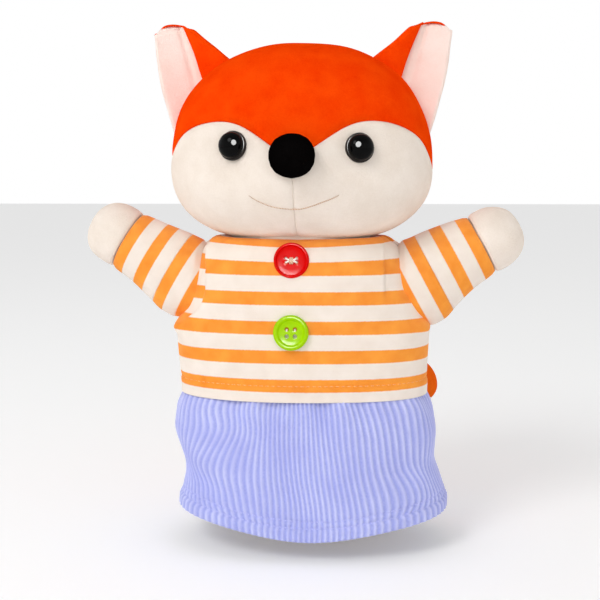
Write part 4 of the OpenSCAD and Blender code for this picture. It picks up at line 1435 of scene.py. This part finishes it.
def build_tail():
    ts = np.concatenate([np.linspace(TAIL_START, TAIL_SPLIT, 34), np.linspace(TAIL_SPLIT, 0.96, 14)[1:],
                         [0.968, 0.975, 0.981, TAIL_END]])
    grid = tail_rings(ts, tail_r(ts) * 0.95)
    split = 33
    whole = cloth_piece("tail_whole", grid, wrap=True, start_cap=True, end_cap=True)
    row = np.repeat(np.arange(len(grid)), grid.shape[1])
    moved = puff(whole, (row == split) | (row == 0) | (row == len(grid) - 1), pressure=4.0, cap=1.6)
    points = points_of(whole)
    start = grid.reshape(-1, 3)
    normal = normals_of(whole)
    points -= normal * (0.8 * np.exp(-((row - split) / 1.2) ** 2) - 0.3 * waves(points, 20, 51))[:, None]
    gather = 0.5 * np.sin(np.arange(grid.shape[1]) * 2 * math.pi / grid.shape[1] * 8)
    points += normal * (np.tile(gather, len(grid)) * np.exp(-row / 5.0))[:, None]
    bpy.data.objects.remove(whole)
    grid = points.reshape(grid.shape)
    for name, part, finish, slot, nodes, caps in (
            ("tail_orange_skin", grid[:split + 1], lit_tail_velour, "orange_velour", ["tail_skin", "tail_wadding"],
             {"start_cap": True}),
            ("tail_cream_tip", grid[split:], cream_velour, "cream_velour", ["tail_tip"], {"end_cap": True})):
        piece = cloth_piece(name, part, wrap=True, **caps)
        finish_mesh(piece)
        subdivide(piece)
        thicken(piece, TAIL_T)
        place(piece, "tail", finish, slot, *nodes)
    root_ts = np.linspace(0.0, TAIL_START + 0.01, 9)
    rings = tail_rings(root_ts, np.linspace(5.0, tail_r(TAIL_START) * 0.93, 9))
    turn = np.linspace(0, 2 * math.pi, TAIL_SIDES, endpoint=False)[:, None]
    bend = []
    for shift, angle, radius in ROOT_BEND:
        lean = math.radians(angle)
        pleat = radius * (1 + 0.05 * np.sin(8 * turn))
        ring = np.cos(turn) * [0, 0, 1] + np.sin(turn) * [math.cos(lean), -math.sin(lean), 0]
        bend.append(TAIL_ROOT + shift + pleat * ring)
    root = cloth_piece("tail_gather", np.concatenate([bend, rings]), wrap=True)
    finish_mesh(root)
    subdivide(root)
    thicken(root, TAIL_T)
    place(root, None, lit_tail_velour, "orange_velour", "tail_root")
    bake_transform(root)
    return moved


print("tail puffed by", round(build_tail(), 2), "mm")

# %% [markdown]
# ### The buttons
# The buttons are moulded plastic with a round rim, a dished face and four holes. A profile is spun into
# the disc, four rods are cut from it with a Boolean, and the edges are bevelled. The red one is sewn with
# a thread that ties its holes together in the middle, and the green one with plain thread in its holes.

# %% Buttons
HOLE_R_OF = {"red": 0.85, "green": 1.1}
BUTTON_LEAN = 4.0
RED_HOLES, GREEN_HOLES = (2.7, 1.1), (2.1, 1.8)
RED_PROFILE = [(0, 0), (8.3, 0), (8.9, 0.5), (9.0, 1.4), (8.8, 2.3), (8.4, 2.75), (7.95, 2.8), (7.65, 2.5),
               (7.4, 1.95), (6.4, 1.75), (4.6, 1.7), (2.4, 1.68), (0, 1.66)]
GREEN_PROFILE = [(0, 0), (8.2, 0), (8.8, 0.5), (9.0, 1.3), (8.9, 2.1), (8.4, 2.8), (7.6, 3.0), (6.9, 2.75), (6.5, 2.2),
                 (6.3, 1.9), (6.0, 1.75), (4.0, 1.65), (2.0, 1.6), (0, 1.6)]


def button_place(node):
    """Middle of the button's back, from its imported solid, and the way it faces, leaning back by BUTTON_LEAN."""
    low, high = box_mm(node)
    lean = math.radians(BUTTON_LEAN)
    middle = (low + high) / 2
    out = np.array([0, -math.cos(lean), math.sin(lean)])
    return middle - out * 1.5, out


def build_button(node, label, profile, holes, finish, slot):
    button = spun(f"{label}_button", profile, steps=64)
    for x, y in ((1, 1), (-1, 1), (-1, -1), (1, -1)):
        bpy.ops.object.select_all(action="DESELECT")
        bpy.ops.mesh.primitive_cylinder_add(vertices=24, radius=HOLE_R_OF[label] * MM, depth=12 * MM,
                                            location=(holes[0] * x * MM, holes[1] * y * MM, 0))
        rod = bpy.context.object
        apply_modifier(button, "BOOLEAN", object=rod, operation="DIFFERENCE", solver="EXACT")
        bpy.data.objects.remove(rod)
    apply_modifier(button, "BEVEL", width=0.16 * MM, segments=2, limit_method="ANGLE", angle_limit=math.radians(50))
    only(button)
    bpy.ops.object.shade_smooth_by_angle(angle=math.radians(50))
    foot, out = button_place(node)
    stand_on(button, foot, out)
    place(button, "torso", finish, slot, node)
    return foot, out


def on_button(foot, out, x, y, h):
    turn = Vector(out).to_track_quat("Z", "Y").to_matrix()
    return np.array(foot) + np.array(turn @ Vector((x, y, h)))


red_foot, red_out = build_button("button_upper", "red", RED_PROFILE, RED_HOLES, button_red, "red_button")
green_foot, green_out = build_button("button_lower", "green", GREEN_PROFILE, GREEN_HOLES, button_green, "green_button")
print("buttons at", np.round(red_foot, 1), np.round(green_foot, 1))

# %% Button threads
def strand(foot, out, *stops, radius):
    """A thread through stops given as (across, up, height) on the button."""
    stops = np.array(stops, float)
    at = np.linspace(0, len(stops) - 1, 13)
    smooth = np.stack([np.interp(at, np.arange(len(stops)), stops[:, k]) for k in range(3)], -1)
    smooth[1:-1] = (smooth[:-2] + 2 * smooth[1:-1] + smooth[2:]) / 4
    return tube(np.array([on_button(foot, out, *p) for p in smooth]), radius)


pale = [strand(red_foot, red_out, (x * RED_HOLES[0], y * RED_HOLES[1], 0.9), (x * 2.5, y * 0.9, 2.1),
               (x * 1.4, y * 0.35, 2.3), (x * 0.5, 0, 2.1), radius=0.5) for x in (1, -1) for y in (1, -1)]
place(thread_piece("red_button_thread", pale), "torso", pale_thread, "sewing_thread", "button_thread_upper")
knot = [strand(red_foot, red_out, (x, -1.6, 1.7), (x * 1.5, -0.8, 2.4), (x * 1.7, 0, 2.7),
               (x * 1.5, 0.8, 2.4), (x, 1.2, 1.7), radius=0.5) for x in (-0.45, 0.0, 0.45)]
place(thread_piece("red_button_knot", knot), "torso", tan_thread, "sewing_thread")
green = [strand(green_foot, green_out, (x, -GREEN_HOLES[1], 0.2), (x, -0.6, 0.5), (x, 0.6, 0.9),
                (x, GREEN_HOLES[1] - 0.75, 1.75), (x, GREEN_HOLES[1], 0.9), radius=0.45)
         for x in (-GREEN_HOLES[0], GREEN_HOLES[0])]
place(thread_piece("green_button_thread", green), "torso", pale_thread, "sewing_thread", "button_thread_lower")
print("threads made")

# %% [markdown]
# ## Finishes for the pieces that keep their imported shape
# Some pieces hide inside: the finger tube and pockets, the neck facing, tube and band, and the washers.
# Their shapes are right as packed, so they only get a finish.

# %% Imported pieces
KEPT = {"finger_tube": lining_cloth, "neck_facing": lining_cloth, "neck_tube": cream_velour,
        "neck_band": cream_velour, "arm_pocket_left": lining_cloth, "arm_pocket_right": lining_cloth,
        "eye_washer_left": washer_plastic, "eye_washer_right": washer_plastic}
for node, finish in KEPT.items():
    paint(frame["nodes"][node], finish)
print("kept nodes", len(KEPT))

# %% [markdown]
# ## Floor and light
# The puppet stands over a plain pale floor in an even white room, as for a catalogue. The room gives
# soft light from all sides. A large panel in front and above shapes the head, and a small bright one
# puts the sparkle in the eyes.

# %% Stage
FLOOR_Z = -20.0
CEILING = 0.55


def build_floor():
    bpy.ops.object.select_all(action="DESELECT")
    bpy.ops.mesh.primitive_plane_add(size=24, location=(0, 0, FLOOR_Z * MM))
    floor = bpy.context.object
    floor.name = "floor"
    finish, tree, shader = new_finish("pale_paper_floor")
    grain = noise(tree, 40.0).outputs["Fac"]
    colour = mix_colour(tree, grain, linear("#FDFDFD"), linear("#FFFFFF"))
    set_shader(tree, shader, {"Base Color": colour}, Roughness=0.9, Specular_IOR_Level=0.0,
               Emission_Color=(1, 1, 1, 1), Emission_Strength=0.12)
    paint(floor, finish)


def area_light(name, place_mm, size_mm, watts, target=(0, 0, 120)):
    data = bpy.data.lights.new(name, "AREA")
    data.shape = "DISK"
    data.size = size_mm * MM
    data.energy = watts
    lamp = bpy.data.objects.new(name, data)
    bpy.context.scene.collection.objects.link(lamp)
    lamp.location = Vector(place_mm) * MM
    lamp.rotation_euler = (Vector(target) * MM - lamp.location).to_track_quat("-Z", "Y").to_euler()
    return lamp


def light_room(strength):
    world = bpy.data.worlds.new("white_room")
    world.use_nodes = True
    tree = world.node_tree
    way = add_node(tree, "ShaderNodeTexCoord").outputs["Generated"]
    height = add_node(tree, "ShaderNodeSeparateXYZ", {0: way}).outputs[2]
    level = add_node(tree, "ShaderNodeMapRange", {"Value": height, "From Min": 0.3, "From Max": 0.7,
                                                  "To Min": strength, "To Max": CEILING})
    background = tree.nodes["Background"]
    background.inputs["Color"].default_value = (1, 1, 1, 1)
    tree.links.new(level.outputs["Result"], background.inputs["Strength"])
    bpy.context.scene.world = world


build_floor()
light_room(1.0)
area_light("front_panel", (-700, -1100, 1200), 700, 8.5)
sparkle = area_light("eye_sparkle", (40, -850, 560), 600, 98.0, target=(0, -40, 190))
sparkle.visible_diffuse = False
bpy.context.scene.view_settings.view_transform = "Standard"
print("lights", len(bpy.data.lights))
